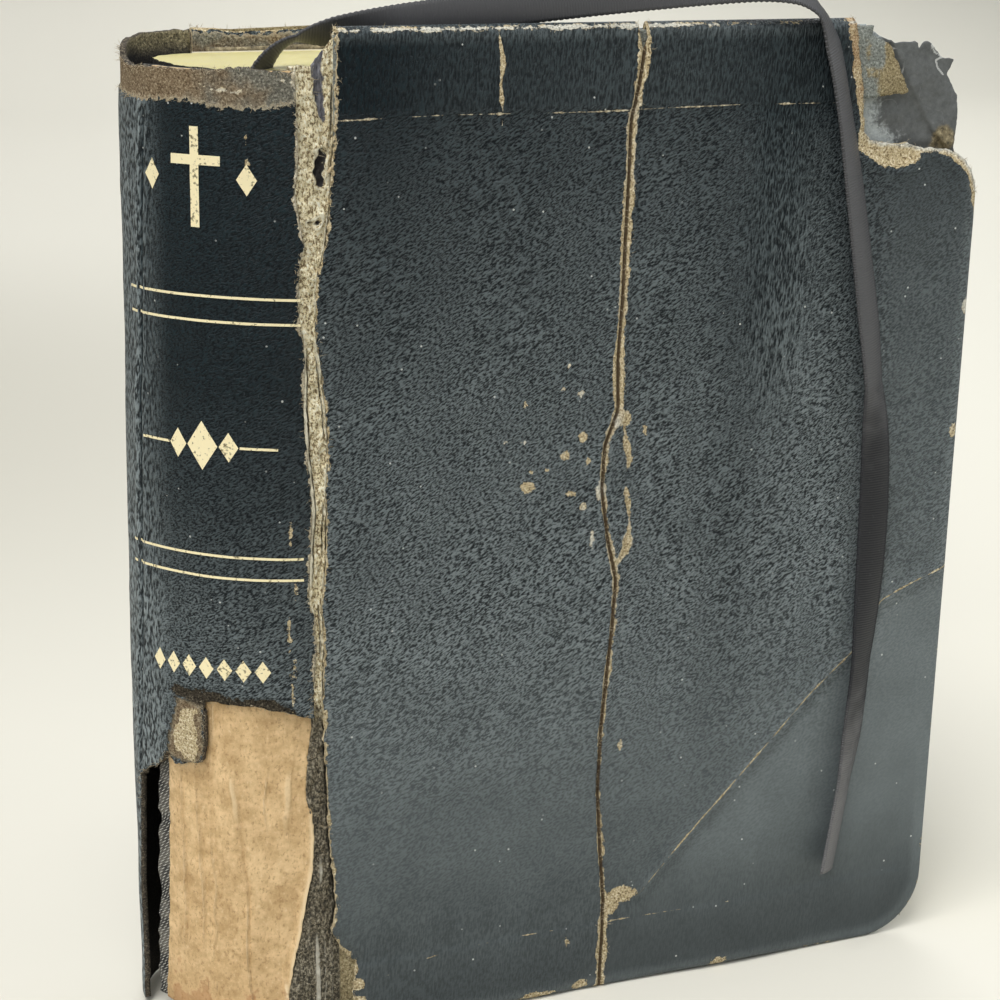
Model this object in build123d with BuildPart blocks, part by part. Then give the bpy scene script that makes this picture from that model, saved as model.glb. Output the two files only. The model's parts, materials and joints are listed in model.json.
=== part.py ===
from build123d import *
import os
from math import atan2, cos, degrees, radians, sin, sqrt, tan

# A worn, limp leather-bound bible, standing closed on the tail edges of its covers.
# Its spine is round and leans to the front, its front joint is torn, and a ribbon marker
# comes out at the head of the spine and hangs down over the front cover.
# In plan, u runs from the front hinge towards the fore-edge and v from the front face to the back.
# The origin is under the middle of the book, on the surface that it stands on.

# Overall sizes
cover_height = 170.0
cover_width = 116.5         # from the hinge to the fore-edge
book_thickness = 36.5
cover_corner = 12.0         # radius of a cover's fore-edge corners
head_square = 6.5           # how far the covers stand past the pages at the head
tail_square = 6.5
fore_square = 5.0
page_corner = 8.0

# Layers of a cover, from the outside in
leather = 1.0
board = 0.9
turn_in = 0.6               # the leather is pared thinner where it folds over the board
turn_in_width = 14.0
lining = 0.2
lining_margin = 3.0
page_gap = 0.5              # air between a closed cover and the flyleaf
flyleaf = 0.2
edge_round = 0.9            # outer edges of a cover
inner_edge_round = 0.4
fit_gap = 0.1               # between layers that are glued together

# Layers on the spine, from the outside in
hollow_gap = 0.2            # the leather stands off the paper behind it
kraft = 0.5
mull = 0.5
kraft_wrap = 64.0           # degrees of the front shoulder that the kraft paper covers
mull_wrap = 72.0

# Round of the spine, seen in plan: a wide front shoulder that runs into a tighter back one
front_shoulder = 23.6
back_shoulder = 12.0
hinge_gap = 0.3             # each side of a hinge
fore_edge_hollow = 8.0      # how deep the fore-edge of the pages is hollowed

# Wear: the head and the tail of the spine are torn off, and so is a corner of the front cover
spine_turn = 38.2           # degrees from the front face round to the middle of the spine's panel
torn_joint_width = 2.0      # bare fibre along the front joint
joint_land = 0.2            # flat leather left between that fibre and the round of the spine
joint_recess = 0.15
spine_tail_start = 1.0
crack_width = 0.8
crack_depth = 0.7
notch_width = 2.0
notch_depth = 5.0
past = 1.0                  # how far a cut runs on past the piece that it is made in

# Ribbon marker
ribbon_width = 5.5
ribbon_thickness = 0.4
ribbon_clear = 0.3          # over the pages, where the ribbon comes out of the spine
ribbon_fold_share = 0.45    # of the shorter run at each bend

# Worked out from the sizes above
joint_flat = hinge_gap + torn_joint_width + joint_land
cover_stack = leather + board + turn_in + lining
text_inset = leather + hollow_gap + kraft + mull + 2 * fit_gap
page_plane = cover_stack + page_gap + flyleaf
spine_setback = page_plane - text_inset
spine_thickness = book_thickness - 2 * spine_setback
shoulder_step = front_shoulder - back_shoulder
shoulder_rise = spine_thickness - front_shoulder - back_shoulder
lean = sqrt(shoulder_step**2 - shoulder_rise**2)
front_centre = (-joint_flat, spine_setback + front_shoulder)
back_centre = (-joint_flat - lean, book_thickness - spine_setback - back_shoulder)
shoulder_angle = degrees(atan2(shoulder_rise, -lean)) % 360
back_hinge = -lean
page_head = cover_height - head_square
page_height = page_head - tail_square
middle_u = (cover_width + back_centre[0] - back_shoulder) / 2

# Work planes
plan = Plane(origin=(-middle_u, -book_thickness / 2, 0))
front_face = Plane(plan.origin, x_dir=(1, 0, 0), z_dir=(0, -1, 0))
back_face = Plane((back_hinge - middle_u, book_thickness / 2, 0), x_dir=(1, 0, 0), z_dir=(0, -1, 0))
spine_across = (-cos(radians(spine_turn)), sin(radians(spine_turn)))
spine_inward = (sin(radians(spine_turn)), cos(radians(spine_turn)))
spine_face = Plane(plan.origin, x_dir=(*spine_across, 0), z_dir=(*spine_inward, 0))
nose_reach = back_centre[0] * spine_across[0] + back_centre[1] * spine_across[1] + back_shoulder
nose_depth = back_centre[0] * spine_inward[0] + back_centre[1] * spine_inward[1]
FRONT_TURN = 270            # direction of the front face in plan, degrees
BACK_TURN = 90
FRONT_IN = -1               # front_face and back_face both look to the front,
BACK_IN = 1                 # so one cover is built backwards from its face and the other forwards


def spine_edges(inset, front_end, back_end):
    """Plan of the whole spine at a depth under its outer skin, from one flat end to the other."""
    Line((front_end, spine_setback + inset), (front_centre[0], spine_setback + inset))
    CenterArc(front_centre, front_shoulder - inset, FRONT_TURN, shoulder_angle - FRONT_TURN)
    CenterArc(back_centre, back_shoulder - inset, shoulder_angle, BACK_TURN - shoulder_angle)
    back_plane = book_thickness - spine_setback - inset
    Line((back_centre[0], back_plane), (back_end, back_plane))


def shoulder_edges(inset, thickness, front_end, wrap):
    """Plan of a layer on the front shoulder, from its flat end round through an angle."""
    outer = front_shoulder - inset
    inner = outer - thickness
    near = spine_setback + inset
    Line((front_end, near), (front_centre[0], near))
    first = CenterArc(front_centre, outer, FRONT_TURN, -wrap)
    second = CenterArc(front_centre, inner, FRONT_TURN, -wrap)
    Line(first @ 1, second @ 1)
    Line((front_centre[0], near + thickness), (front_end, near + thickness))
    Line((front_end, near + thickness), (front_end, near))


def panel(face, inset, hinge_side, corner):
    """A cover's outline, drawn in from its three free edges and square at the hinge."""
    high = cover_height - inset
    reach = cover_width - inset
    ends = [(hinge_side, inset), (reach, inset), (reach, high), (hinge_side, high)]
    with BuildSketch(face) as outline:
        with BuildLine():
            FilletPolyline(*ends, radius=[0, corner, corner, 0], close=True)
        make_face()
    return outline.sketch


def leather_wrap(face, inward):
    """A cover's leather: one sheet, folded over the board's edges at head, fore-edge and tail."""
    with BuildPart() as wrap:
        extrude(panel(face, 0, hinge_gap, cover_corner), amount=inward * (leather + board + turn_in))
        free_edges = wrap.edges().filter_by(lambda e: e.center().X > face.origin.X + joint_flat)
        outer = free_edges.filter_by(lambda e: abs(e.center().Y - face.origin.Y) < fit_gap)
        inner = free_edges.filter_by(lambda e: abs(e.center().Y - face.origin.Y) > leather + board)
        fillet(outer, radius=edge_round)
        fillet(inner, radius=inner_edge_round)
        board_space = panel(face.offset(inward * leather), leather, 0, cover_corner - leather)
        extrude(board_space, amount=inward * board, mode=Mode.SUBTRACT)
        window = panel(face.offset(inward * (leather + board)), turn_in_width, 0, page_corner)
        extrude(window, amount=inward * turn_in, mode=Mode.SUBTRACT)
    return wrap.part


def stiff_board(face, inward):
    """A cover's board, thinner along the three edges where the turned-in leather lies on it."""
    edge = leather + fit_gap
    with BuildPart() as card:
        full = panel(face.offset(inward * leather), edge, joint_flat, cover_corner - edge)
        extrude(full, amount=inward * board)
        edge = turn_in_width + fit_gap
        middle = panel(face.offset(inward * (leather + board)), edge, joint_flat, page_corner)
        extrude(middle, amount=inward * turn_in)
    return card.part


def paper_lining(face, inward):
    """The dark paper that is pasted over the board and the turned-in leather."""
    with BuildPart() as paper:
        bed = face.offset(inward * (leather + board + turn_in))
        extrude(panel(bed, lining_margin, joint_flat, cover_corner - lining_margin), amount=inward * lining)
    return paper.part


def loose_leaf(face, inward):
    """A flyleaf, laid on the first or last page and cut to the size of the pages."""
    depth = cover_stack + page_gap
    corners = [(0, tail_square), (cover_width - fore_square, tail_square),
               (cover_width - fore_square, page_head), (0, page_head)]
    with BuildPart() as leaf:
        with BuildSketch(face.offset(inward * depth)):
            with BuildLine():
                FilletPolyline(*corners, radius=[0, page_corner, page_corner, 0], close=True)
            make_face()
        extrude(amount=inward * flyleaf)
    return leaf.part


# Pages: one block, round at the spine, hollow at the fore-edge, its corners rounded
with BuildPart() as text_block:
    with BuildSketch(plan.offset(tail_square)):
        with BuildLine():
            spine_edges(text_inset, 0, back_hinge)
            Line((0, page_plane), (cover_width - fore_square, page_plane))
            SagittaArc((cover_width - fore_square, page_plane),
                       (back_hinge + cover_width - fore_square, book_thickness - page_plane),
                       fore_edge_hollow)
            Line((back_hinge + cover_width - fore_square, book_thickness - page_plane),
                 (back_hinge, book_thickness - page_plane))
        make_face()
    extrude(amount=page_height)
    fore_edges = text_block.faces().sort_by(Axis.X)[-1].edges().filter_by(GeomType.CIRCLE)
    fillet(fore_edges, radius=page_corner)

# Flyleaves, tipped on to the pages front and back
with BuildPart() as front_flyleaf:
    add(loose_leaf(front_face, FRONT_IN))

with BuildPart() as back_flyleaf:
    add(loose_leaf(back_face, BACK_IN))

# Open-weave cloth glued over the backs of the pages
with BuildPart() as spine_cloth:
    with BuildSketch(plan.offset(tail_square)):
        with BuildLine():
            shoulder_edges(text_inset - fit_gap - mull, mull, -hinge_gap, mull_wrap)
        make_face()
    extrude(amount=page_height)

# Kraft paper over the cloth, bare where the leather has gone from the tail of the spine
with BuildPart() as spine_paper:
    with BuildSketch(plan.offset(tail_square)):
        with BuildLine():
            shoulder_edges(leather + hollow_gap, kraft, -hinge_gap, kraft_wrap)
        make_face()
    extrude(amount=page_height)

# Tears of the spine, as distances across its panel and heights
head = cover_height
head_tear = [(0, head - 9.5), (3.5, head - 7.6), (7.6, head - 6.2), (16.6, head - 6.5), (24.6, head - 7.3),
             (30.0, head - 7.4), (nose_reach - 4, head - 6.5), (nose_reach + past, head - 3.0)]
tail_tear = [(0, 58.5), (2.8, 59.6), (9.6, 61.7), (18.8, 62.1), (19.1, 51.7), (24.1, 49.7), (25.8, 51.9),
             (27.5, 49.1), (nose_reach - 5.5, 46.5), (nose_reach - 4.6, 40.0), (nose_reach - 3.8, 28.0),
             (nose_reach - 3.4, 0)]

# Spine leather: a round strip, torn off at the head and, in front of its nose, at the tail
with BuildPart() as spine_leather:
    front_end = -hinge_gap - torn_joint_width
    back_end = back_hinge - hinge_gap
    with BuildSketch(plan.offset(spine_tail_start)):
        with BuildLine():
            spine_edges(0, front_end, back_end)
            spine_edges(leather, front_end, back_end)
            Line((front_end, spine_setback), (front_end, spine_setback + leather))
            Line((back_end, book_thickness - spine_setback),
                 (back_end, book_thickness - spine_setback - leather))
        make_face()
    extrude(amount=cover_height - spine_tail_start)
    with BuildSketch(spine_face.offset(-front_shoulder)):
        with BuildLine():
            Polyline(*head_tear, (nose_reach + past, head + past), (0, head + past), close=True)
        make_face()
    extrude(amount=front_shoulder + 2 * book_thickness, mode=Mode.SUBTRACT)
    with BuildSketch(spine_face.offset(-front_shoulder)):
        with BuildLine():
            Polyline(*tail_tear, (0, 0), close=True)
        make_face()
    extrude(amount=front_shoulder + nose_depth, mode=Mode.SUBTRACT)

# What is left of the leather in the torn front joint: its bare fibrous core
with BuildPart() as front_joint:
    with BuildSketch(plan.offset(tail_square)):
        with BuildLine():
            near = spine_setback + joint_recess
            Polyline((-hinge_gap, near), (-hinge_gap - torn_joint_width + fit_gap, near),
                     (-hinge_gap - torn_joint_width + fit_gap, spine_setback + leather),
                     (-hinge_gap, spine_setback + leather), close=True)
        make_face()
    extrude(amount=page_height)

# Tears of the front cover's corner, as distances back from the fore-edge and down from the head
leather_tear = [(27.5, -past), (26.7, 6.6), (24.9, 13.2), (24.1, 21.6), (18.7, 24.1), (14.8, 24.7),
                (11.0, 22.3), (7.2, 23.3), (4.0, 25.1), (-past, 27.6)]
board_tear = [(25.5, -past), (18.0, 4.4), (13.6, 11.6), (18.5, 16.5), (15.5, 20.6), (-past, 24.0)]
lining_tear = [(23.8, -past), (22.9, 2.7), (18.7, 5.5), (12.7, 4.2), (6.7, 6.7), (7.9, 9.0),
               (5.5, 13.2), (5.3, 21.7), (-past, 24.5)]

# Splits and rubbed edges, as distances from the hinge and heights
crack_head = 52.8
crack_route = [(crack_head, head + past), (52.4, head - 9), (51.1, head - 23), (50.2, head - 54),
               (48.0, 94.0), (51.1, 77.5), (49.0, 45.0), (50.6, -past)]
head_notch = [(crack_head - notch_width / 2, head + past), (crack_head, head - notch_depth),
              (crack_head + notch_width / 2, head + past)]
joint_head_wear = [(0, head + past), (2.4, head + past), (2.2, head - 13), (1.0, head - 26), (0, head - 42)]
joint_tail_wear = [(0, 45), (1.4, 26), (2.4, 14), (2.4, -past), (0, -past)]
back_head_wear = [(0, head - 2.9), (7, head - 3.2), (21, head - 2.8), (45, head - 3.6), (75, head - 4.4),
                  (cover_width + past, head - 4.2), (cover_width + past, head + past), (0, head + past)]


def worn_away(face, inward, outline):
    """What wear has taken from a cover, as a tool that goes through all of its layers."""
    with BuildPart() as lost:
        with BuildSketch(face.offset(-inward * past)):
            with BuildLine():
                Polyline(*outline, close=True)
            make_face()
        extrude(amount=inward * (cover_stack + 2 * past))
    return lost.part


def lost_corner(tear):
    """The outline of a layer's lost corner, closed round the outside of the cover."""
    torn = [(cover_width - back, head - down) for back, down in tear]
    return [*torn, (cover_width + past, head + past)]


# Front cover, with a crack from head to tail where the leather has been bent
with BuildPart() as front_leather:
    add(leather_wrap(front_face, FRONT_IN))
    for outline in (lost_corner(leather_tear), head_notch, joint_head_wear, joint_tail_wear):
        add(worn_away(front_face, FRONT_IN, outline), mode=Mode.SUBTRACT)
    with BuildSketch(front_face):
        with BuildLine():
            Polyline(*crack_route)
        trace(line_width=crack_width)
    extrude(amount=FRONT_IN * crack_depth, mode=Mode.SUBTRACT)

with BuildPart() as front_board:
    add(stiff_board(front_face, FRONT_IN))
    for outline in (lost_corner(board_tear), head_notch):
        add(worn_away(front_face, FRONT_IN, outline), mode=Mode.SUBTRACT)

with BuildPart() as front_lining:
    add(paper_lining(front_face, FRONT_IN))
    for outline in (lost_corner(lining_tear), head_notch):
        add(worn_away(front_face, FRONT_IN, outline), mode=Mode.SUBTRACT)

# Back cover, its head edge rubbed down along its whole length
with BuildPart() as back_leather:
    add(leather_wrap(back_face, BACK_IN))
    add(worn_away(back_face, BACK_IN, back_head_wear), mode=Mode.SUBTRACT)

with BuildPart() as back_board:
    add(stiff_board(back_face, BACK_IN))
    add(worn_away(back_face, BACK_IN, back_head_wear), mode=Mode.SUBTRACT)

with BuildPart() as back_lining:
    add(paper_lining(back_face, BACK_IN))
    add(worn_away(back_face, BACK_IN, back_head_wear), mode=Mode.SUBTRACT)

# Ribbon marker: its middle line in u, v and height over the covers' head, out of the spine and down the front
ribbon_route = [
    (-9.0, 6.0, -8.0), (-5.0, 5.8, -4.0), (5.0, 5.2, -1.4), (23.0, 4.2, 1.2), (44.0, 2.7, 3.5),
    (63.0, 1.2, 5.0), (76.0, 0.0, 5.4), (84.0, -0.6, 3.2), (87.5, -0.6, -3.5), (91.0, -0.6, -17.0),
    (96.0, -0.6, -40.0), (100.2, -0.6, -65.0), (101.0, -0.6, -90.0), (99.8, -0.6, -115.0),
    (97.5, -0.6, -136.0), (95.8, -0.6, -153.0),
]
ribbon_points = [plan.offset(head).from_local_coords(Vector(*p)) for p in ribbon_route]
ribbon_bends = []
for before, bend, after in zip(ribbon_points, ribbon_points[1:], ribbon_points[2:]):
    turn = (bend - before).get_angle(after - bend)
    shorter = min((bend - before).length, (after - bend).length)
    ribbon_bends.append(ribbon_fold_share * shorter / tan(radians(turn / 2)))
print("ribbon bend radii, mm:", [round(r, 1) for r in ribbon_bends])

with BuildPart() as ribbon_marker:
    with BuildLine() as ribbon_line:
        FilletPolyline(*ribbon_points, radius=ribbon_bends)
    ribbon_guide = ribbon_line.line.moved(Location((0, ribbon_width, 0)))
    ribbon_start = Plane(ribbon_points[0], x_dir=(0, 1, 0), z_dir=ribbon_points[1] - ribbon_points[0])
    with BuildSketch(ribbon_start):
        Rectangle(ribbon_thickness, ribbon_width)
    sweep(path=ribbon_line.line, binormal=ribbon_guide)
    add(text_block.part.moved(Location((0, 0, ribbon_clear))), mode=Mode.SUBTRACT)
print("ribbon length, mm:", round(sum(e.length for e in ribbon_line.edges()), 1))

pieces = {
    "text_block": text_block, "front_flyleaf": front_flyleaf, "back_flyleaf": back_flyleaf,
    "spine_cloth": spine_cloth, "spine_paper": spine_paper, "spine_leather": spine_leather,
    "front_joint": front_joint, "front_leather": front_leather, "front_board": front_board,
    "front_lining": front_lining, "back_leather": back_leather, "back_board": back_board,
    "back_lining": back_lining, "ribbon_marker": ribbon_marker,
}
os.makedirs("parts", exist_ok=True)
for name, piece in pieces.items():
    piece.part.label = name
    export_step(piece.part, f"parts/{name}.step")
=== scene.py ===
import json

import bpy
import numpy as np
from mathutils import Matrix, Vector


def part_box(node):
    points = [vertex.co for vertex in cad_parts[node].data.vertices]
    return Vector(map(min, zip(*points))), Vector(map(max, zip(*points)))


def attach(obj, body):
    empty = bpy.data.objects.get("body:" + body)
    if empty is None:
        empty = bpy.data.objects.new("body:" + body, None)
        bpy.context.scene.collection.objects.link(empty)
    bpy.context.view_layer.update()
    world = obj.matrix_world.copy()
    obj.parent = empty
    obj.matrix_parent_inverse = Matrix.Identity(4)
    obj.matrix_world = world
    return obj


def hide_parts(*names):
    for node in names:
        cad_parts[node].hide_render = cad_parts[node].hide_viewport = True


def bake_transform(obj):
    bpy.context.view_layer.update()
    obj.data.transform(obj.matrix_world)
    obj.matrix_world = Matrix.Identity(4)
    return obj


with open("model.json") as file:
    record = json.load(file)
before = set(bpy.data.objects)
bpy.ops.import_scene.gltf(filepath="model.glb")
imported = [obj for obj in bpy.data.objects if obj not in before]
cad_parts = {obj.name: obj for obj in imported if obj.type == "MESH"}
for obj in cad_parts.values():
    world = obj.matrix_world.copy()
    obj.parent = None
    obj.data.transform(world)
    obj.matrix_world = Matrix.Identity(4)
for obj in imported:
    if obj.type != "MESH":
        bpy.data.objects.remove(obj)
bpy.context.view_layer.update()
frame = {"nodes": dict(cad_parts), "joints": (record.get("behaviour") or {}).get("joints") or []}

# Camera, floor and light.
# The book stands on a pale table with painted shade on it: darker to the left, in a painted shadow behind
# the book and far in front of it. A large soft lamp hangs overhead to the left and weaker ones in front, to
# the right and behind; the camera stands left of the spine and looks down on it.
MM = 0.001
scene = bpy.context.scene
scene.view_settings.view_transform = "Standard"
CAMERA_PLACE = (-0.13412, -0.32499, 0.19727)
CAMERA_YAW, CAMERA_PITCH, CAMERA_ROLL = 0.3694, 0.3043, 0.016
camera = bpy.data.objects.new("camera", bpy.data.cameras.new("camera"))
camera.data.sensor_width = 36.0
camera.data.lens = 76.07
ahead = Vector((np.sin(CAMERA_YAW) * np.cos(CAMERA_PITCH), np.cos(CAMERA_YAW) * np.cos(CAMERA_PITCH),
                -np.sin(CAMERA_PITCH)))
level = Vector((np.cos(CAMERA_YAW), -np.sin(CAMERA_YAW), 0.0))
upright = level.cross(ahead)
right = level * np.cos(CAMERA_ROLL) + upright * np.sin(CAMERA_ROLL)
above = upright * np.cos(CAMERA_ROLL) - level * np.sin(CAMERA_ROLL)
camera_turn = Matrix((right, above, -ahead)).transposed().to_4x4()
camera.matrix_world = Matrix.Translation(CAMERA_PLACE) @ camera_turn
scene.collection.objects.link(camera)
scene.camera = camera


def lamp(name, place, target, size, watts, colour=(1.0, 1.0, 1.0)):
    """A square soft lamp at a place, turned to face a target."""
    data = bpy.data.lights.new(name, "AREA")
    data.size = size
    data.energy = watts
    data.color = colour
    made = bpy.data.objects.new(name, data)
    made.location = place
    made.rotation_euler = (Vector(target) - Vector(place)).to_track_quat("-Z", "Y").to_euler()
    scene.collection.objects.link(made)


BOOK = (0.0, 0.0, 0.08)                      # what three of the lamps face
lamp("overhead_lamp", (-0.35, -0.30, 1.1), BOOK, 0.6, 10.8, (1.0, 0.985, 0.96))
lamp("front_lamp", (-0.75, -1.0, 0.95), BOOK, 0.45, 5.0, (0.97, 0.99, 1.0))
lamp("side_lamp", (1.0, -0.4, 0.7), BOOK, 0.6, 3.5, (0.96, 0.98, 1.0))
lamp("back_lamp", (0.4, 1.1, 0.9), (0.3, 0.9, 0.0), 0.8, 6.6)


class Amount:
    """What a node gives. Sums and products of amounts add the Math nodes for them; a | b is the greater."""

    def __init__(self, nodes, socket):
        self.nodes = nodes
        self.socket = socket

    def __add__(self, other):
        return self.nodes.math("ADD", self, other)

    def __sub__(self, other):
        return self.nodes.math("SUBTRACT", self, other)

    def __mul__(self, other):
        return self.nodes.math("MULTIPLY", self, other)

    def __or__(self, other):
        return self.nodes.math("MAXIMUM", self, other)

    def __abs__(self):
        return self.nodes.math("ABSOLUTE", self)


class Nodes:
    """Adds shader nodes to a material or the world, so that a finish reads as one formula."""

    def __init__(self, owner):
        self.owner = bpy.data.materials.new(owner) if isinstance(owner, str) else owner
        self.owner.use_nodes = True
        self.tree = self.owner.node_tree
        self.place = self.add("TexCoord", {}, out="Object")

    def add(self, kind, sockets, out=0, **settings):
        node = self.tree.nodes.new("ShaderNode" + kind)
        for key, value in settings.items():
            setattr(node, key, value)
        for key, value in sockets.items():
            self.feed(node.inputs[key], value)
        return Amount(self, node.outputs[out])

    def feed(self, socket, value):
        if isinstance(value, Amount):
            self.tree.links.new(value.socket, socket)
        else:
            socket.default_value = (*value, 1.0) if socket.type == "RGBA" else value

    def field(self, name):
        return self.add("Attribute", {}, out="Fac", attribute_name=name)

    def math(self, operation, a, b=0.0):
        return self.add("Math", {0: a, 1: b}, operation=operation)

    def laid(self, size, turn=(0, 0, 0), kind="TEXTURE"):
        """Places for a pattern: its lumps are that size along three turned directions or, of kind POINT, that
        much finer."""
        sockets = {"Vector": self.place, "Scale": size, "Rotation": turn}
        return self.add("Mapping", sockets, vector_type=kind)

    def noise(self, size, detail=2.0, vector=None, rough=0.5):
        """Cloudy noise from about 0 to 1, its lumps about that size in millimetres."""
        sockets = {"Vector": vector or self.place, "Scale": 1 / (size * MM)}
        return self.add("TexNoise", sockets | {"Detail": detail, "Roughness": rough})

    def cells(self, size):
        """Distance from the nearest of points scattered about that many millimetres apart."""
        return self.add("TexVoronoi", {"Vector": self.place, "Scale": 1 / (size * MM)}, out="Distance")

    def step(self, value, low, high, kind="SMOOTHSTEP"):
        """0 where value is under low, 1 over high, and a smooth rise between."""
        sockets = {"Value": value, "From Min": low, "From Max": high}
        return self.add("MapRange", sockets, interpolation_type=kind)

    def mix(self, share, a, b):
        return self.add("Mix", {0: share, 6: a, 7: b}, out=2, data_type="RGBA")

    def blend(self, share, a, b):
        return self.add("Mix", {0: share, 2: a, 3: b}, data_type="FLOAT")

    def bump(self, height, depth):
        """Normals as if the surface stood out by height times a depth in millimetres."""
        return self.add("Bump", {"Height": height, "Distance": depth * MM})

    def finish(self, node="Principled BSDF", **sockets):
        for key, value in sockets.items():
            self.feed(self.tree.nodes[node].inputs[key.replace("_", " ")], value)
        return self.owner


ROOM_BACK, ROOM_FRONT = (0.54, 0.56, 0.58), (0.05, 0.055, 0.06)
scene.world = bpy.data.worlds.new("studio")
n = Nodes(scene.world)
room_way = n.add("SeparateXYZ", {0: n.add("TexCoord", {}, out="Generated")}, out="Y")
n.finish("Background", Color=n.mix(n.step(room_way, -0.9, 0.1, "LINEAR"), ROOM_FRONT, ROOM_BACK))


def put_mesh(name, points, faces, materials=(), fields=None, smooth=True):
    """An object at the origin, its mesh from arrays of points and faces, with named values at its points."""
    mesh = bpy.data.meshes.new(name)
    mesh.from_pydata(points.reshape(-1, 3), [], faces)
    for field, values in (fields or {}).items():
        made = mesh.attributes.new(field, "FLOAT", "POINT")
        made.data.foreach_set("value", np.ravel(values).astype(np.float32))
    mesh.polygons.foreach_set("use_smooth", np.full(len(mesh.polygons), smooth))
    for material in materials:
        mesh.materials.append(material)
    mesh.update()
    made = bpy.data.objects.new(name, mesh)
    scene.collection.objects.link(made)
    return made


def grid_faces(rows, columns, wrap=False):
    """Quads between neighbouring points of a grid stored row by row, each row joined round if wrap is set."""
    at = np.arange(rows * columns).reshape(rows, columns)
    if wrap:
        at = np.concatenate([at, at[:, :1]], 1)
    return np.stack([at[:-1, :-1], at[:-1, 1:], at[1:, 1:], at[1:, :-1]], -1).reshape(-1, 4)


# The table's colour carries painted shade besides its own pale tone: darker to the left, a painted shadow
# round FLOOR_SHADE, and darker far in front of the book.
FLOOR_PALE, FLOOR_LEFT_SHADE, FLOOR_PAINTED_SHADOW = (0.790, 0.767, 0.675), (0.690, 0.668, 0.590), (0.540, 0.520, 0.448)
FLOOR_FAR_SHADE = (0.24, 0.235, 0.21)
FLOOR_SHADE = (-0.15, 0.42, 0.0)             # the middle of the shaded part of the table
FLOOR_REACH = 6.0
n = Nodes("pale_table")
table_ahead = n.add("SeparateXYZ", {0: n.place}, out="Y")
table_side = table_ahead * -0.15 + n.add("SeparateXYZ", {0: n.place}, out="X")
table_shade = n.add("VectorMath", {0: n.place, 1: FLOOR_SHADE}, out="Value", operation="DISTANCE")
tone = n.mix(n.step(table_side, -0.05, 0.30), FLOOR_LEFT_SHADE, FLOOR_PALE)
tone = n.mix(n.step(table_shade, 0.05, 0.40), FLOOR_PAINTED_SHADOW, tone)
tone = n.mix(n.step(table_ahead, -1.5, -0.3), FLOOR_FAR_SHADE, tone)
pale_table = n.finish(Base_Color=tone, Roughness=0.7)
floor_line = np.array([(-FLOOR_REACH, 0.0), (1.2, 0.0), (1.5, 0.06), (1.75, 0.25), (1.9, 0.6), (1.95, 3.0)])
floor_points = np.stack([np.stack([np.full(len(floor_line), x), *floor_line.T], -1)
                         for x in (-FLOOR_REACH, FLOOR_REACH)], 1)
floor = put_mesh("floor", floor_points, grid_faces(len(floor_line), 2)[:, ::-1], [pale_table])

# Ribbon marker.
# A narrow black satin ribbon, glued between the pages and the cloth at the head of the spine; it arches over
# the head of the front cover, turns on itself and hangs down the front, worn grey towards its end.
HINGE = frame["joints"][0]["pos_m"]          # u, v and z are measured from the front hinge, in millimetres
RIBBON_WIDTH, RIBBON_THICK, RIBBON_CUP = 5.5, 0.35, 0.35
RIBBON_LOOP, RIBBON_BEAD = 0.95, 0.028       # spacing and depth of its edges' loops
RIBBON_ROUTE = np.array([
    (-0.0072, 0.0070, 0.1625), (-0.0048, 0.0069, 0.1674), (0.0040, 0.0055, 0.1687), (0.0230, 0.0042, 0.1712),
    (0.0440, 0.0027, 0.1735), (0.0630, 0.0012, 0.1750), (0.0748, -0.0006, 0.1756),
    (0.0822, -0.0018, 0.1732), (0.0857, -0.0022, 0.1665), (0.0891, -0.0022, 0.1530),
    (0.0937, -0.0022, 0.1300), (0.0983, -0.0022, 0.1050), (0.0997, -0.0016, 0.0800),
    (0.0993, -0.0014, 0.0550), (0.0974, -0.0018, 0.0340), (0.0945, -0.0024, 0.0170)])
RIBBON_TURN = np.array([                     # number of a route point, and degrees
    (0, -42), (0.9, -74), (1.5, -34), (2.2, 0), (4, 10), (5.5, 30), (6.5, 52), (7.2, 60), (7.6, 50), (8, 38),
    (9, 38), (9.6, 31), (10.6, 25), (11.1, 31), (11.35, 13), (11.6, 2), (12.1, -5), (12.5, 0), (12.9, 12),
    (13.3, 26), (14, 25), (14.4, 37), (15, 38)])


def row(u, v, z):
    """Points in metres, from u along the cover, v behind the front face and z up, in millimetres."""
    u, v, z = np.broadcast_arrays(u, v, z)
    return np.stack([HINGE[0] + u * MM, HINGE[1] + v * MM, z * MM], -1)


ribbon_curve = bpy.data.curves.new("ribbon_line", "CURVE")
ribbon_curve.dimensions = "3D"
ribbon_curve.resolution_u = 60
ribbon_spline = ribbon_curve.splines.new("NURBS")
ribbon_spline.points.add(len(RIBBON_ROUTE) - 1)
ribbon_control = row(*(RIBBON_ROUTE / MM).T)
ribbon_spline.points.foreach_set("co", np.c_[ribbon_control, np.ones(len(ribbon_control))].ravel())
ribbon_spline.order_u = 3
ribbon_spline.use_endpoint_u = True
ribbon_walk = bpy.data.meshes.new_from_object(bpy.data.objects.new("ribbon_line", ribbon_curve))
ribbon_path = np.empty(3 * len(ribbon_walk.vertices), np.float32)
ribbon_walk.vertices.foreach_get("co", ribbon_path)
ribbon_path = ribbon_path.reshape(-1, 3).astype(float)


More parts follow.
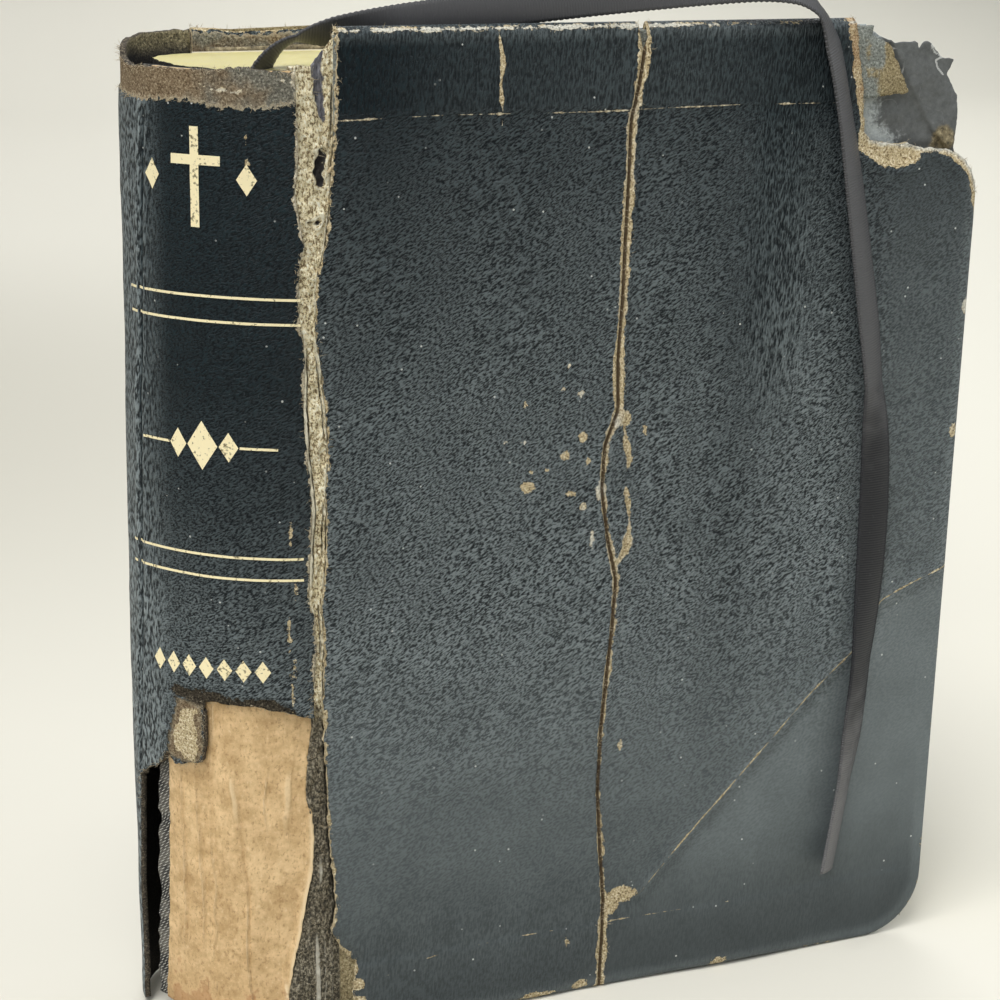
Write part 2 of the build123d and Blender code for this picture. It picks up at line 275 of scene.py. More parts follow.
def strip_along(path, turn, width, columns, cup):
    """A strip along a path: across it, points run from edge to edge along a direction turned about the path
    from the plane of the cover, and bow by cup; its edges are beaded by their loops of thread; returns points
    and how far along and across each of them is."""
    way = np.gradient(path, axis=0)
    way /= np.linalg.norm(way, axis=1, keepdims=True)
    flat = np.cross(way, (0, 1, 0))
    flat /= np.linalg.norm(flat, axis=1, keepdims=True)
    out = np.cross(flat, way)
    side = flat * np.cos(turn)[:, None] + out * np.sin(turn)[:, None]
    face = np.cross(side, way)
    along = np.r_[0, np.cumsum(np.linalg.norm(np.diff(path, axis=0), axis=1))]
    across, along = np.meshgrid(np.linspace(-1, 1, columns), along)
    beads = 1 + RIBBON_BEAD * (np.abs(across) > 0.99) * np.sin(2 * np.pi * along / (RIBBON_LOOP * MM))
    points = path[:, None] + side[:, None] * (across * beads * width / 2)[..., None]
    return points + face[:, None] * (cup * (across**2 - 0.4))[..., None], along, across


ribbon_share = np.linspace(0, len(RIBBON_ROUTE) - 1, len(ribbon_path))
ribbon_turn = np.radians(np.interp(ribbon_share, *RIBBON_TURN.T))
ribbon_points, ribbon_along, ribbon_across = strip_along(ribbon_path, ribbon_turn, RIBBON_WIDTH * MM, 11,
                                                         RIBBON_CUP * MM)
n = Nodes("black_satin")
edge = n.step(abs(n.field("across")), 0.80, 0.88)
ribs = n.math("SINE", n.field("along") * (2 * np.pi / 0.45) + n.noise(3.0) * 3.0)
way = n.field("along") + n.noise(4) * 24
# Greyer along its first part down to the upper hang, a painted sheen where the satin turns to the light, and
# worn dusty grey towards its end.
lighter_share = n.step(way, 186, 168) * 0.42 | n.step(way, 222, 252)
dust = n.step(n.noise(0.5, 3.0), 0.62, 0.72) * 0.2
tone = n.mix(dust, (0.0055, 0.0065, 0.0100), (0.085, 0.088, 0.095))
tone = n.mix(lighter_share, tone, (0.138, 0.137, 0.141))
black_satin = n.finish(Base_Color=tone, Roughness=n.blend(edge, 0.46, 0.7),
                       Normal=n.bump(ribs * n.blend(edge, 0.45, 1.0), 0.05))
ribbon = put_mesh("ribbon", ribbon_points, grid_faces(*ribbon_points.shape[:2]), [black_satin],
                  {"along": ribbon_along / MM, "across": ribbon_across})


def thicken(piece, thick, rim=0, rim_only=False, inner=0, offset=-1.0):
    """Gives a sheet its thickness, behind its outer face unless offset says otherwise; its cut edge and its
    inner face may take later materials."""
    made = piece.modifiers.new("thickness", "SOLIDIFY")
    made.thickness = thick * MM
    made.offset = offset
    made.use_rim_only = rim_only
    made.material_offset_rim = rim
    made.material_offset = inner


def settle(piece, node, body=None):
    """Hides the node that a finished piece stands for, and puts the piece on the body that carries it, if one
    is given.
    """
    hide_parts(node)
    if body:
        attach(piece, body)


thicken(ribbon, RIBBON_THICK, offset=0.0)
settle(ribbon, "ribbon_marker")
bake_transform(ribbon)

# Pages.
# About a thousand thin leaves, sewn and glued into one block: round at the spine, hollow at the fore-edge,
# and gilt on the three cut edges, where the gold has worn to paper along the folds of the sections.
PAGE_TAIL, PAGE_HEAD = (c.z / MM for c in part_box("text_block"))
PAGE_FRONT, PAGE_BACK = ((c.y - HINGE[1]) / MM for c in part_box("text_block"))
PAGE_FORE, PAGE_SLANT = 111.5, 11.548        # u of the first leaf's fore-edge, and the last one's shortfall
PAGE_HOLLOW, PAGE_CORNER = 8.0, 8.0
PAGE_NOSE, PAGE_NOSE_V = -19.6, 24.6         # where the rounded backs reach furthest
PAGE_STARTS = -2.5, -11.5                    # u where they start, at the front and at the back
PAGE_LAYERS = 119
SECTION = 2.7                                # thickness of a sewn section of leaves
n = Nodes("gilt_pages")
glued = n.field("glued")
leaves = n.noise(1.0, 3.0, n.laid((8, 5200, 8), kind="POINT"), 0.7)
sections = n.noise(1.0, 1.0, n.laid((6, 620, 6), kind="POINT"))
worn = n.step(sections + n.noise(5.0, 4.0) * 0.5, 0.74, 0.92)
tone = n.mix(leaves, (0.98, 0.83, 0.29), (1.0, 0.96, 0.50))
tone = n.mix(worn * 0.6, tone, (0.95, 0.84, 0.56))
tone = n.mix(glued, tone, (0.020, 0.017, 0.014))
gilt_pages = n.finish(Base_Color=tone, Roughness=n.blend(glued, 0.42, 0.9),
                      Metallic=n.blend(worn, 0.08, 0.0) * n.math("SUBTRACT", 1.0, glued),
                      Normal=n.bump(leaves + sections * 1.5, 0.12))


def lumps(a, b, size, seed):
    """Smooth noise from -1 to 1: random values at the corners of squares of that size, eased between them."""
    side = 97
    corners = np.random.default_rng(seed).uniform(-1, 1, (side, side))
    a, b = np.broadcast_arrays(np.asarray(a) / size, np.asarray(b) / size)
    i, j = np.floor(a).astype(int), np.floor(b).astype(int)
    p, q = a - i, b - j
    p, q = p * p * (3 - 2 * p), q * q * (3 - 2 * q)
    i, j, next_i, next_j = i % side, j % side, (i + 1) % side, (j + 1) % side
    low = corners[i, j] * (1 - p) + corners[next_i, j] * p
    high = corners[i, next_j] * (1 - p) + corners[next_i, next_j] * p
    return low * (1 - q) + high * q


def leaf_outlines(v):
    """The outline of the leaf at each depth v: a rectangle with two round corners at the fore-edge, which is
    hollow along a parabola; its other end lies on one of two ellipses that meet at the nose, scalloped by the
    sections. Also says which points are glued."""
    v = v[:, None]
    share = (v - PAGE_FRONT) / (PAGE_BACK - PAGE_FRONT)
    fore = PAGE_FORE - PAGE_SLANT * share - 4 * PAGE_HOLLOW * share * (1 - share) + 0.12 * lumps(v, 0, 0.6, 5)
    front_half = v < PAGE_NOSE_V
    reach = np.abs(v - PAGE_NOSE_V) / np.where(front_half, PAGE_NOSE_V - PAGE_FRONT, PAGE_BACK - PAGE_NOSE_V)
    start = np.where(front_half, *PAGE_STARTS)
    back = start + (PAGE_NOSE - start) * np.sqrt(np.clip(1 - reach**2, 0, 1))
    back = back + 0.25 * np.abs(np.sin(np.pi * v / SECTION))
    uneven = 0.05 * lumps(v, 0, 0.5, 6) + 0.10 * lumps(v, 0, SECTION, 7) - 0.1
    low, high = PAGE_TAIL - uneven, PAGE_HEAD + uneven
    edge, bend, rest = np.linspace(0, 1, 40), np.linspace(0, np.pi / 2, 7), np.linspace(0, 1, 24)
    inner = fore - PAGE_CORNER
    u = [back + (inner - back) * edge, inner + PAGE_CORNER * np.sin(bend), fore * np.ones_like(rest),
         inner + PAGE_CORNER * np.cos(bend), inner + (back - inner) * edge, back * np.ones_like(rest)]
    z = [low * np.ones_like(edge), low + PAGE_CORNER * (1 - np.cos(bend)),
         low + PAGE_CORNER + (high - low - 2 * PAGE_CORNER) * rest, high - PAGE_CORNER * (1 - np.sin(bend)),
         high * np.ones_like(edge), high + (low - high) * rest]
    glued = np.concatenate([np.full(len(part[0]), k == 5) for k, part in enumerate(u)])
    return row(np.concatenate(u, 1), v, np.concatenate(z, 1)), glued


leaf_points, leaf_glued = leaf_outlines(np.linspace(PAGE_FRONT, PAGE_BACK, PAGE_LAYERS))
leaf_rows, leaf_columns = leaf_points.shape[:2]
last_leaf = (leaf_rows - 1) * leaf_columns
leaf_faces = grid_faces(leaf_rows, leaf_columns, wrap=True)[:, ::-1].tolist()
leaf_faces += [list(range(leaf_columns)), list(range(last_leaf + leaf_columns - 1, last_leaf - 1, -1))]
pages = put_mesh("page_block", leaf_points, leaf_faces, [gilt_pages],
                 {"glued": np.broadcast_to(leaf_glued, leaf_points.shape[:2])}, smooth=False)
settle(pages, "text_block", "book_block")

# Flyleaves.
# A blank leaf of cream paper tipped on to the first and the last page, foxed with a few brown spots.
n = Nodes("flyleaf_paper")
leaf_spots = n.step(n.noise(7.0, 5.0), 0.60, 0.75) * 0.35
tone = n.mix(n.noise(40.0, 3.0), (0.80, 0.74, 0.60), (0.86, 0.81, 0.69))
tone = n.mix(leaf_spots, tone, (0.62, 0.48, 0.30))
flyleaf_paper = n.finish(Base_Color=tone, Roughness=0.85, Normal=n.bump(n.noise(0.6, 3.0), 0.03))


def refinish(node, material):
    """Gives a node of the frame, whose shape is right, a better material."""
    frame["nodes"][node].data.materials.clear()
    frame["nodes"][node].data.materials.append(material)


refinish("front_flyleaf", flyleaf_paper)
refinish("back_flyleaf", flyleaf_paper)

# Cloth on the backs of the pages.
# An open-weave cotton, glued over the rounded backs; its cut edge shows past the kraft paper at the tail.
SPINE_FLAT = -2.5                            # u where the round of the spine starts
FRONT_ROUND, BACK_ROUND = 23.6, 12.0         # radii of its two shoulders
FRONT_CENTRE, BACK_CENTRE = (-2.5, 24.6), (-14.048, 23.5)
MEET = np.radians(185.44)                    # direction, in plan, in which the shoulders meet
FRONT_RUN = FRONT_ROUND * (1.5 * np.pi - MEET)
BACK_RUN = BACK_ROUND * (MEET - 0.5 * np.pi)
SPINE_FOOT = 3.5                             # the torn paper and cloth hang a little below the pages
LOWER_SPINE, UPPER_SPINE = 50.0, 165.0       # heights between which the spine leans out a little
SPINE_LEAN = 2.0
CLOTH_DEPTH, CLOTH_THICK, CLOTH_START = 1.85, 0.45, -1.8
CLOTH_EDGE = np.array([(28.9, 64), (28.8, 49), (29.4, 33), (30.3, 18), (31.5, 3)])      # run and height


def spine_wall(s, z, depth):
    """Points of the spine at a run s along its skin, a height and a depth under it: in plan a short flat, a
    wide arc, a tighter arc and another flat, the whole a little fuller towards the tail."""
    first = 1.5 * np.pi - s / FRONT_ROUND
    second = MEET - (s - FRONT_RUN) / BACK_ROUND
    rest = s - FRONT_RUN - BACK_RUN
    front, back = FRONT_ROUND - depth, BACK_ROUND - depth
    where = [s < 0, s < FRONT_RUN, s < FRONT_RUN + BACK_RUN]
    u = np.select(where, [SPINE_FLAT - s, FRONT_CENTRE[0] + front * np.cos(first),
                          BACK_CENTRE[0] + back * np.cos(second)], BACK_CENTRE[0] + rest)
    v = np.select(where, [FRONT_CENTRE[1] - FRONT_ROUND + depth, FRONT_CENTRE[1] + front * np.sin(first),
                          BACK_CENTRE[1] + back * np.sin(second)], BACK_CENTRE[1] + BACK_ROUND - depth)
    lean = np.interp(z, (LOWER_SPINE, UPPER_SPINE), (-0.5, 0.5)) * SPINE_LEAN
    nose = np.clip(s / FRONT_RUN, 0, 1) * np.clip((FRONT_RUN + BACK_RUN - s) / BACK_RUN, 0, 1)
    return row(u + lean * nose, v, z)


def grid(*sides):
    """The two coordinates of a grid's points. Along each side the lines go in even steps: each stop is where
    a stretch starts and its widest step, and the last stop ends it."""
    made = []
    for stops in sides:
        runs = [np.linspace(a, b, int(np.ceil((b - a) / step)), endpoint=False)
                for (a, step), (b, _) in zip(stops, stops[1:])]
        made.append(np.concatenate([*runs, [stops[-1][0]]]))
    return np.meshgrid(*made, indexing="ij")


def all_cells(a):
    """True for each cell of a grid."""
    return np.ones(np.subtract(a.shape, 1), bool)


def ridge(offset, width):
    """A smooth ridge of height 1 along offset 0."""
    return np.exp(-(offset / width) ** 2)


def rise(value, low, high):
    """0 under low, 1 over high, and a smooth rise between."""
    t = np.clip((value - low) / (high - low), 0, 1)
    return t * t * (3 - 2 * t)


def inside(a, b, outline):
    """Whether points lie in a closed outline: a level ray from each crosses it an odd number of times."""
    a, b = a[..., None], b[..., None]
    (p_a, p_b), (q_a, q_b) = outline.T, np.roll(outline, -1, 0).T
    crosses = (p_b > b) != (q_b > b)
    fall = np.where(q_b == p_b, 1.0, q_b - p_b)
    return (crosses & (a < p_a + (b - p_b) * (q_a - p_a) / fall)).sum(-1) % 2 == 1


def nearest(a, b, outline):
    """The nearest point of an outline's straight runs to each point, and its distance."""
    outline = np.asarray(outline)
    start, end = outline[:-1], outline[1:]
    run = end - start
    point = np.stack([a, b], -1)[..., None, :]
    share = np.clip(((point - start) * run).sum(-1) / np.maximum((run**2).sum(-1), 1e-9), 0, 1)
    near = start + share[..., None] * run
    far = np.linalg.norm(point - near, axis=-1)
    best = far.argmin(-1)[..., None]
    return np.take_along_axis(near, best[..., None], -2)[..., 0, :], np.take_along_axis(far, best, -1)[..., 0]


def ragged(points, step, amount, seed):
    """A torn line: the straight runs between points, cut into steps, each moved a little at random."""
    points = np.asarray(points, float)
    along = np.r_[0, np.cumsum(np.linalg.norm(np.diff(points, axis=0), axis=1))]
    stations = np.linspace(0, along[-1], int(along[-1] / step) + 2)
    line = np.stack([np.interp(stations, along, c) for c in points.T], -1)
    return line + np.random.default_rng(seed).normal(0, amount, line.shape)


def tear_off(a, b, keep, tear):
    """Drops the cells of a grid whose middles lie in a closed tear, and draws the corners at it on to it."""
    gone = inside((a[:-1, :-1] + a[1:, 1:]) / 2, (b[:-1, :-1] + b[1:, 1:]) / 2, tear)
    left = keep & ~gone
    sides = [np.zeros(a.shape, bool) for _ in range(2)]
    for side, cells in zip(sides, (gone, left)):
        side[:-1, :-1] |= cells
        side[1:, :-1] |= cells
        side[:-1, 1:] |= cells
        side[1:, 1:] |= cells
    rim = sides[0] & sides[1]
    moved = nearest(a[rim], b[rim], tear)[0]
    a[rim], b[rim] = moved.T
    return left


def tear_past(a, b, keep, line, step, amount, seed, *beyond):
    """Tears a grid off along a line made ragged, on the side where further points close it."""
    return tear_off(a, b, keep, np.r_[ragged(line, step, amount, seed), list(beyond)])


def put_sheet(name, points, keep, materials, fields, flip=False):
    """A mesh over the kept cells of a grid of points."""
    faces = grid_faces(*points.shape[:2])[keep.ravel()]
    used, faces = np.unique(faces, return_inverse=True)
    faces = faces.reshape(-1, 4)
    fields = {key: np.ravel(np.broadcast_to(value, points.shape[:2]))[used] for key, value in fields.items()}
    return put_mesh(name, points.reshape(-1, 3)[used], faces[:, ::-1] if flip else faces, materials, fields)


n = Nodes("mull_cloth")
weave_run, weave_rise = (n.field(f) * (2 * np.pi / 0.75) for f in ("run", "height"))
weave_height = n.math("SINE", weave_run + weave_rise) * n.math("SINE", weave_rise * 0.5)
tone = n.mix(n.step(n.noise(4.0, 4.0), 0.4, 0.65), (0.030, 0.030, 0.030), (0.16, 0.15, 0.13))
tone = n.mix(n.step(weave_height, 0.1, 0.8), tone, (0.44, 0.43, 0.39))
mull_cloth = n.finish(Base_Color=tone, Roughness=0.95, Normal=n.bump(weave_height, 0.18))
z, t = grid([(SPINE_FOOT, 0.4), (70, 3.0), (PAGE_HEAD, None)], [(0, 0.09), (0.85, 0.012), (1, None)])
end = np.interp(z, *CLOTH_EDGE[::-1, ::-1].T)
s = CLOTH_START + t * (end - CLOTH_START)
fray = 0.8 * lumps(z, 0, 3.1, 3) + 0.5 * lumps(z, 0, 1.2, 4)
pull = rise(s, end - 2.5, end)
lift = CLOTH_DEPTH - pull * (0.45 + 0.2 * fray)
points = spine_wall(s + 0.4 * pull * fray, z, lift)
cloth = put_sheet("spine_cloth_weave", points, all_cells(s), [mull_cloth],
                  {"run": s, "height": z}, flip=True)
thicken(cloth, CLOTH_THICK)
settle(cloth, "spine_cloth", "book_block")

# Kraft paper on the spine.
# Brown paper pasted over the cloth to make the spine hollow; bare at the torn tail, where it has dried into
# long upright wrinkles, with one ply lifting along its torn edge beside the front joint.
KRAFT_DEPTH, KRAFT_THICK, KRAFT_DIP = 1.2, 0.35, -0.25
KRAFT_FRONT = np.array([(-0.6, 62), (-0.8, 57), (0.0, 52.3), (0.4, 44.9), (-0.6, 42.2), (-0.8, 37),
                        (-0.5, 31.5), (0.6, 26.5), (1.7, 20), (3.0, 14.3), (4.0, 7.6), (4.6, 3)])
KRAFT_BACK = np.array([(26.3, 62), (26.0, 49), (26.6, 33), (27.5, 18), (28.9, 3)])
n = Nodes("kraft_paper")
fibres = n.noise(1.0, 4.0, n.laid((0.6, 0.6, 0.9), (0, 0.12, 0)), 0.75)
cloud = n.step(n.noise(3.4, 5.0, None, 0.68), 0.28, 0.72)
low = cloud * -14.0 + n.field("height")
tone = n.mix(cloud, (0.50, 0.325, 0.150), (0.80, 0.575, 0.315))
tone = n.mix(n.step(fibres, 0.48, 0.32) * 0.75, tone, (0.34, 0.20, 0.085))
tone = n.mix(n.step(fibres, 0.55, 0.74) * 0.6, tone, (0.86, 0.68, 0.43))
# Lighter on the wrinkles' ridges and darker in their hollows, as painted light and shade that follow the fold
# field; paler too on the lifted ply.
tone = n.mix(n.step(n.field("fold"), 0.35, 0.95), tone, (0.84, 0.66, 0.41))
tone = n.mix(n.step(n.field("fold"), -0.45, -1.1), tone, (0.27, 0.165, 0.08))
tone = n.mix(n.step(low, 3, -3) * 0.6, tone, (0.34, 0.15, 0.05))
kraft_paper = n.finish(Base_Color=tone, Roughness=0.85, Normal=n.bump(fibres, 0.10))
n = Nodes("kraft_torn_edge")
tone = n.mix(n.noise(0.5), (0.50, 0.36, 0.19), (0.80, 0.68, 0.47))
kraft_edge = n.finish(Base_Color=tone, Roughness=0.95, Normal=n.bump(n.noise(0.3, 3.0), 0.15))
z, s = grid([(SPINE_FOOT, 0.4), (64, 3.0), (PAGE_HEAD, None)], [(-2.0, 0.22), (29.5, None)])
keep = all_cells(s)
keep = tear_past(s, z, keep, np.r_[[(-1.7, 165)], KRAFT_FRONT], 0.7, 0.07, 11, (-9, 3), (-9, 165))
keep = tear_past(s, z, keep, np.r_[[(26.3, 165)], KRAFT_BACK], 0.7, 0.10, 12, (40, 3), (40, 165))
bare = rise(z, 66, 58)
way = s + 1.0 * lumps(z, s / 5, 14, 13) + 0.35 * lumps(z, s, 4, 17)
wave = lumps(way, z / 16, 3.4, 14)
fold = ridge(lumps(way, z / 18, 3.0, 15), 0.07) * rise(lumps(s, z, 9, 18), -0.3, 0.5)
fold -= 0.7 * ridge(lumps(way + 0.25, z / 18, 3.0, 15), 0.06) * rise(z, 52, 30)
crush = lumps(s, z, 3.0, 16) * rise(z, 26, 8)
edge_lift = rise(nearest(s, z, KRAFT_FRONT)[1], 1.6, 0.0) * rise(z, 46, 40)
out = bare * (0.55 * wave + 0.55 * fold + 0.45 * crush) + 0.5 * edge_lift
out = np.maximum(out, KRAFT_DIP)
# The fold field that the colour reads: the wrinkles' ridges and the lifted ply, painted lighter, and the
# crushed hollows, painted darker as shade.
fold = fold * 0.8 + 0.9 * edge_lift + 0.5 * np.minimum(crush, 0)
kraft_sheet = put_sheet("spine_kraft", spine_wall(s, z, KRAFT_DEPTH - out), keep,
                        [kraft_paper, kraft_edge], {"fold": fold * bare, "height": z}, flip=True)
thicken(kraft_sheet, KRAFT_THICK, rim=1)
settle(kraft_sheet, "spine_paper", "book_block")

# Spine leather.
# Thin black grained leather round the back of the book, its top layer rubbed off to brown suede at the head
# and above the torn tail; a crease runs down beside its nose, and at the back it bends into the joint.
SPINE_LEATHER = 1.0
JOINT_GAP = np.array([                       # height, and u of the left and right edges of the torn joint
    (3, -6.6, 4.8), (9.5, -6.2, 4.6), (13.8, -5.5, 5.0), (16.5, -4.9, 2.4), (20, -4.2, 1.0),
    (24.2, -3.6, 1.7), (32, -2.0, 1.1), (37.3, -1.7, 0.6), (45, -2.9, 0.3), (52.5, -2.5, 0.1),
    (57.2, -1.7, 0.0), (62.7, -1.8, -0.2), (71.4, -1.2, 0.1), (76.6, -1.4, -0.1), (79.2, -2.2, -0.3),
    (86, -2.1, 0.4), (94, -1.6, 0.6), (98.4, -1.8, 0.5), (105, -2.4, 1.0), (112, -2.75, 0.6),
    (118.7, -2.5, -0.1), (122.7, -2.7, -0.7), (125, -3.4, -0.7), (131, -3.4, -0.6), (134, -3.4, -0.1),
    (137.2, -2.3, 0.85), (140.5, -3.0, 1.3), (145, -3.7, 1.7), (148.5, -3.4, 1.9), (152, -3.1, 2.3),
    (156.4, -3.4, 2.6), (160, -3.4, 2.8), (180, -3.6, 2.9)])
SPINE_EDGE = np.stack([SPINE_FLAT - JOINT_GAP[:, 1], JOINT_GAP[:, 0]], -1)[JOINT_GAP[:, 0] > 56]
SPINE_EDGE = np.r_[[(-0.8, 55.0)], SPINE_EDGE]      # run and height, as in the lines below
HEAD_TEAR = [(-3, 163.9), (0.2, 163.7), (1.7, 163.2), (9.1, 164.1), (15.2, 163.6), (22.2, 163.6),
             (32.7, 162.9), (36.5, 163.9), (39, 165.2), (43, 166.2), (48, 166.6), (58.5, 167.0)]
HEAD_SUEDE = [(-3, 158.8), (1.0, 158.6), (7.7, 157.9), (13.0, 158.1), (18.7, 159.0), (27.7, 158.3),
              (34, 158.6), (45, 160.0), (58, 161.5)]
TAIL_TEAR = [(-3, 58.8), (0.2, 59.6), (3.3, 60.6), (8.0, 61.7), (12.9, 62.1), (17.3, 62.1), (17.2, 55.0),
             (17.6, 51.7), (22.8, 49.9), (24.6, 51.9), (26.4, 49.1), (31.2, 46.3), (32.6, 45.0), (33.3, 40.0),
             (34.2, 28.0), (34.6, -1.0)]
TAIL_SUEDE = [(3.4, 60.4), (8.0, 61.6), (12.9, 62.0), (17.6, 62.4), (22.0, 63.2)]
FLAP_SUEDE = np.array([(22.1, 62.2), (17.5, 61.3), (17.2, 52.9), (19.0, 50.6), (24.6, 51.3), (24.0, 55.0)])
SPINE_CREASE = np.array([(27.8, 156.8), (28.7, 142.9), (30.0, 110.8), (30.5, 76.7), (32.6, 46.0)])
SPINE_CRACK = [(8.4, 158.5), (8.6, 152.5), (8.5, 147.5)]
SPINE_SCRAPES = [                            # and half width, half height
    (2.7, 91.2, 0.26, 1.5), (1.9, 81.9, 0.25, 1.2), (3.0, 76.6, 0.3, 0.7), (3.0, 73.5, 0.26, 1.6),
    (2.2, 68.5, 0.2, 1.2), (2.7, 64.0, 0.2, 2.4)]
FIBRE_WIDE = 0.10


def fibre_speck(n):
    """The fine noise of matted fibre."""
    return n.noise(0.36, 3.0, None, 0.72)


def fibre_tones(n, speck, dark=(0.16, 0.112, 0.055), tan=(0.55, 0.445, 0.265), pale=(0.90, 0.83, 0.64)):
    """Colours of torn leather: dark gaps, tan fibres and their pale tips, by the height of a fine noise."""
    tone = n.mix(n.step(speck, 0.36, 0.49), dark, tan)
    return n.mix(n.step(speck, 0.51, 0.68), tone, pale)


def black_leather(name):
    """Near-black leather with short slanting grain: upright where drawn is 1, and faint where grain is low;
    its raised cells are painted a little lighter, a painted highlight. A field of chafe and sheen greys it,
    most on the raised
    cells: in part real chafe, in part painted sheen, the reflection the glossy leather would show, strewn
    with painted glints. It is tan fibre where bare is over 0 and along a line as wide as it is open, rust red
    or whitish by those fields, and painted dark in the middle of a split, as shade in its depth; it is brown
    suede where brown is over 0, darker where dim is 1 and greyer where it is ashen."""
    n = Nodes(name)
    pebble = n.noise(1.0, 2.0, n.laid((0.24, 0.4, 0.62), (0, 1.05, 0)))
    furrow = n.noise(1.0, 2.0, n.laid((0.30, 0.5, 1.15), (0, 0.1, 0)))
    cell = n.step(n.blend(n.field("drawn"), pebble, furrow), 0.36, 0.64)
    grain = cell * n.field("grain")
    cloud, speck = n.noise(9.0, 3.0), fibre_speck(n)
    fray = n.noise(0.9, 3.0, None, 0.65) - 0.5
    thread = n.field("open") - abs(n.field("line"))
    thread = thread | (n.field("level_open") - abs(n.field("level_line")))
    bare = n.step(fray * 1.6 + n.field("bare"), -0.05, 0.12) | n.step(fray * 0.55 + thread, -0.03, 0.10)
    edge = fray * 2.6 + n.field("brown")
    brown = n.step(edge, -0.10, 0.15)
    # Painted shade: dark brown down the middle of a split, where its depth would lie in shadow.
    split_shade = n.step(fray * 0.35 + n.field("split"), 0.40, 0.22)
    # Painted glints: small whitish dots that stand for sparkle on the grain.
    painted_glint = n.step(n.cells(2.7), 0.082, 0.048) * n.step(cloud, 0.49, 0.57)
    # The grey goes most on the raised cells: painted highlight on the grain, and chafe on its high points.
    hill = n.blend(n.field("grain"), 0.40, cell * 0.62 + 0.03)
    lighter_share = n.field("chafe") * (hill * (cloud * 0.5 + 0.75))
    # The raised cells are painted a little lighter than the valleys as a highlight; then the grey of chafe
    # and painted sheen.
    tone = n.mix(grain, (0.0015, 0.0042, 0.0064), (0.0060, 0.0170, 0.0225))
    tone = n.mix(lighter_share, tone, (0.372, 0.425, 0.435))
    tone = n.mix(painted_glint, tone, (0.56, 0.58, 0.56))
    suede = n.mix(n.step(cloud + n.field("ashen"), 0.42, 0.60),
                  fibre_tones(n, speck, (0.085, 0.056, 0.030), (0.20, 0.145, 0.088), (0.42, 0.345, 0.23)),
                  fibre_tones(n, speck, (0.070, 0.066, 0.054), (0.165, 0.158, 0.128), (0.38, 0.365, 0.30)))
    suede = n.mix(n.step(edge, 0.75, 0.25) * 0.45, suede, (0.52, 0.45, 0.31))
    dim = fibre_tones(n, speck, (0.012, 0.010, 0.008), (0.045, 0.037, 0.026), (0.15, 0.13, 0.095))
    tone = n.mix(brown, tone, n.mix(n.field("dim"), suede, dim))
    rust = fibre_tones(n, speck, (0.11, 0.060, 0.028), (0.34, 0.185, 0.088), (0.60, 0.45, 0.28))
    pale = fibre_tones(n, speck, (0.30, 0.30, 0.27), (0.62, 0.61, 0.54), (0.88, 0.87, 0.80))
    fibre = n.mix(n.field("rust"), fibre_tones(n, speck), rust)
    tone = n.mix(bare, tone, n.mix(n.field("pale"), fibre, pale))
    tone = n.mix(split_shade * 0.90, tone, (0.060, 0.036, 0.019))
    worn = bare | brown
    gloss = n.blend(worn | lighter_share * 0.5, n.blend(cell, 0.50, 0.31), 0.92)
    return n.finish(Base_Color=tone, Roughness=gloss, Specular_IOR_Level=0.17,
                    Normal=n.bump(n.blend(worn, grain, speck * 2.0), 0.20))


def skin_fields(shape, **given):
    """Values that the black leather reads, whole and unworn unless given."""
    plain = dict.fromkeys(("bare", "brown", "open", "level_open"), -9.0)
    plain |= dict.fromkeys(("line", "level_line", "split"), 9.0) | {"grain": 1.0}
    plain |= dict.fromkeys(("chafe", "drawn", "rust", "pale", "dim", "ashen"), 0.0)
    return {key: np.broadcast_to(given.get(key, value), shape) for key, value in plain.items()}


def bare_fibre(name, **tones):
    """Torn leather seen on its broken edge."""
    n = Nodes(name)
    speck = fibre_speck(n)
    return n.finish(Base_Color=fibre_tones(n, speck, **tones), Roughness=0.95, Normal=n.bump(speck, 0.5))


def worn_places(points, keep, worn, count, seed, flip=False):
    """Random points of the kept part of a grid where it is worn, and the outward directions there."""
    used = np.zeros(points.shape[:2], bool)
    used.ravel()[grid_faces(*points.shape[:2])[keep.ravel()]] = True
    face = np.cross(np.gradient(points, axis=1), np.gradient(points, axis=0)) * (-1 if flip else 1)
    face /= np.maximum(np.linalg.norm(face, axis=-1, keepdims=True), 1e-12)
    picked = np.random.default_rng(seed).choice(np.flatnonzero(used & worn), count)
    return points.reshape(-1, 3)[picked], face.reshape(-1, 3)[picked]


def loose_fibres(name, roots, ways, longest, seed):
    """Loose fibres: from near each root a thin three-sided spike of random length goes roughly its own way,
    bends aside and narrows to its tip."""
    dice = np.random.default_rng(seed)
    shape = roots.shape
    ways = ways + dice.normal(0, 0.75, shape)
    ways /= np.linalg.norm(ways, axis=1, keepdims=True)
    aside = np.cross(ways, dice.normal(0, 1, shape))
    aside /= np.linalg.norm(aside, axis=1, keepdims=True)
    length = longest * MM * dice.uniform(0.35, 1, (len(roots), 1, 1))
    bend = dice.uniform(0, 0.7, (len(roots), 1, 1))
    along, round_it = np.array([0, 0.4, 0.75, 1])[:, None], np.arange(3)[:, None] * 2 * np.pi / 3
    middle = (roots + dice.normal(0, 0.12 * MM, shape))[:, None]
    middle = middle + length * (ways[:, None] * along + bend * aside[:, None] * along**2)
    ring = aside[:, None] * np.cos(round_it) + np.cross(ways, aside)[:, None] * np.sin(round_it)
    points = middle[:, :, None] + ring[:, None] * (FIBRE_WIDE / 2 * MM * (1 - 0.8 * along))[:, :, None]
    first = 12 * np.arange(len(roots))[:, None, None]
    sides = (grid_faces(4, 3, wrap=True) + first).reshape(-1, 4).tolist()
    ends = (np.array([(2, 1, 0), (9, 10, 11)]) + first).reshape(-1, 3).tolist()
    made = put_mesh(name, points, sides + ends, [pale_fibre])
    return made


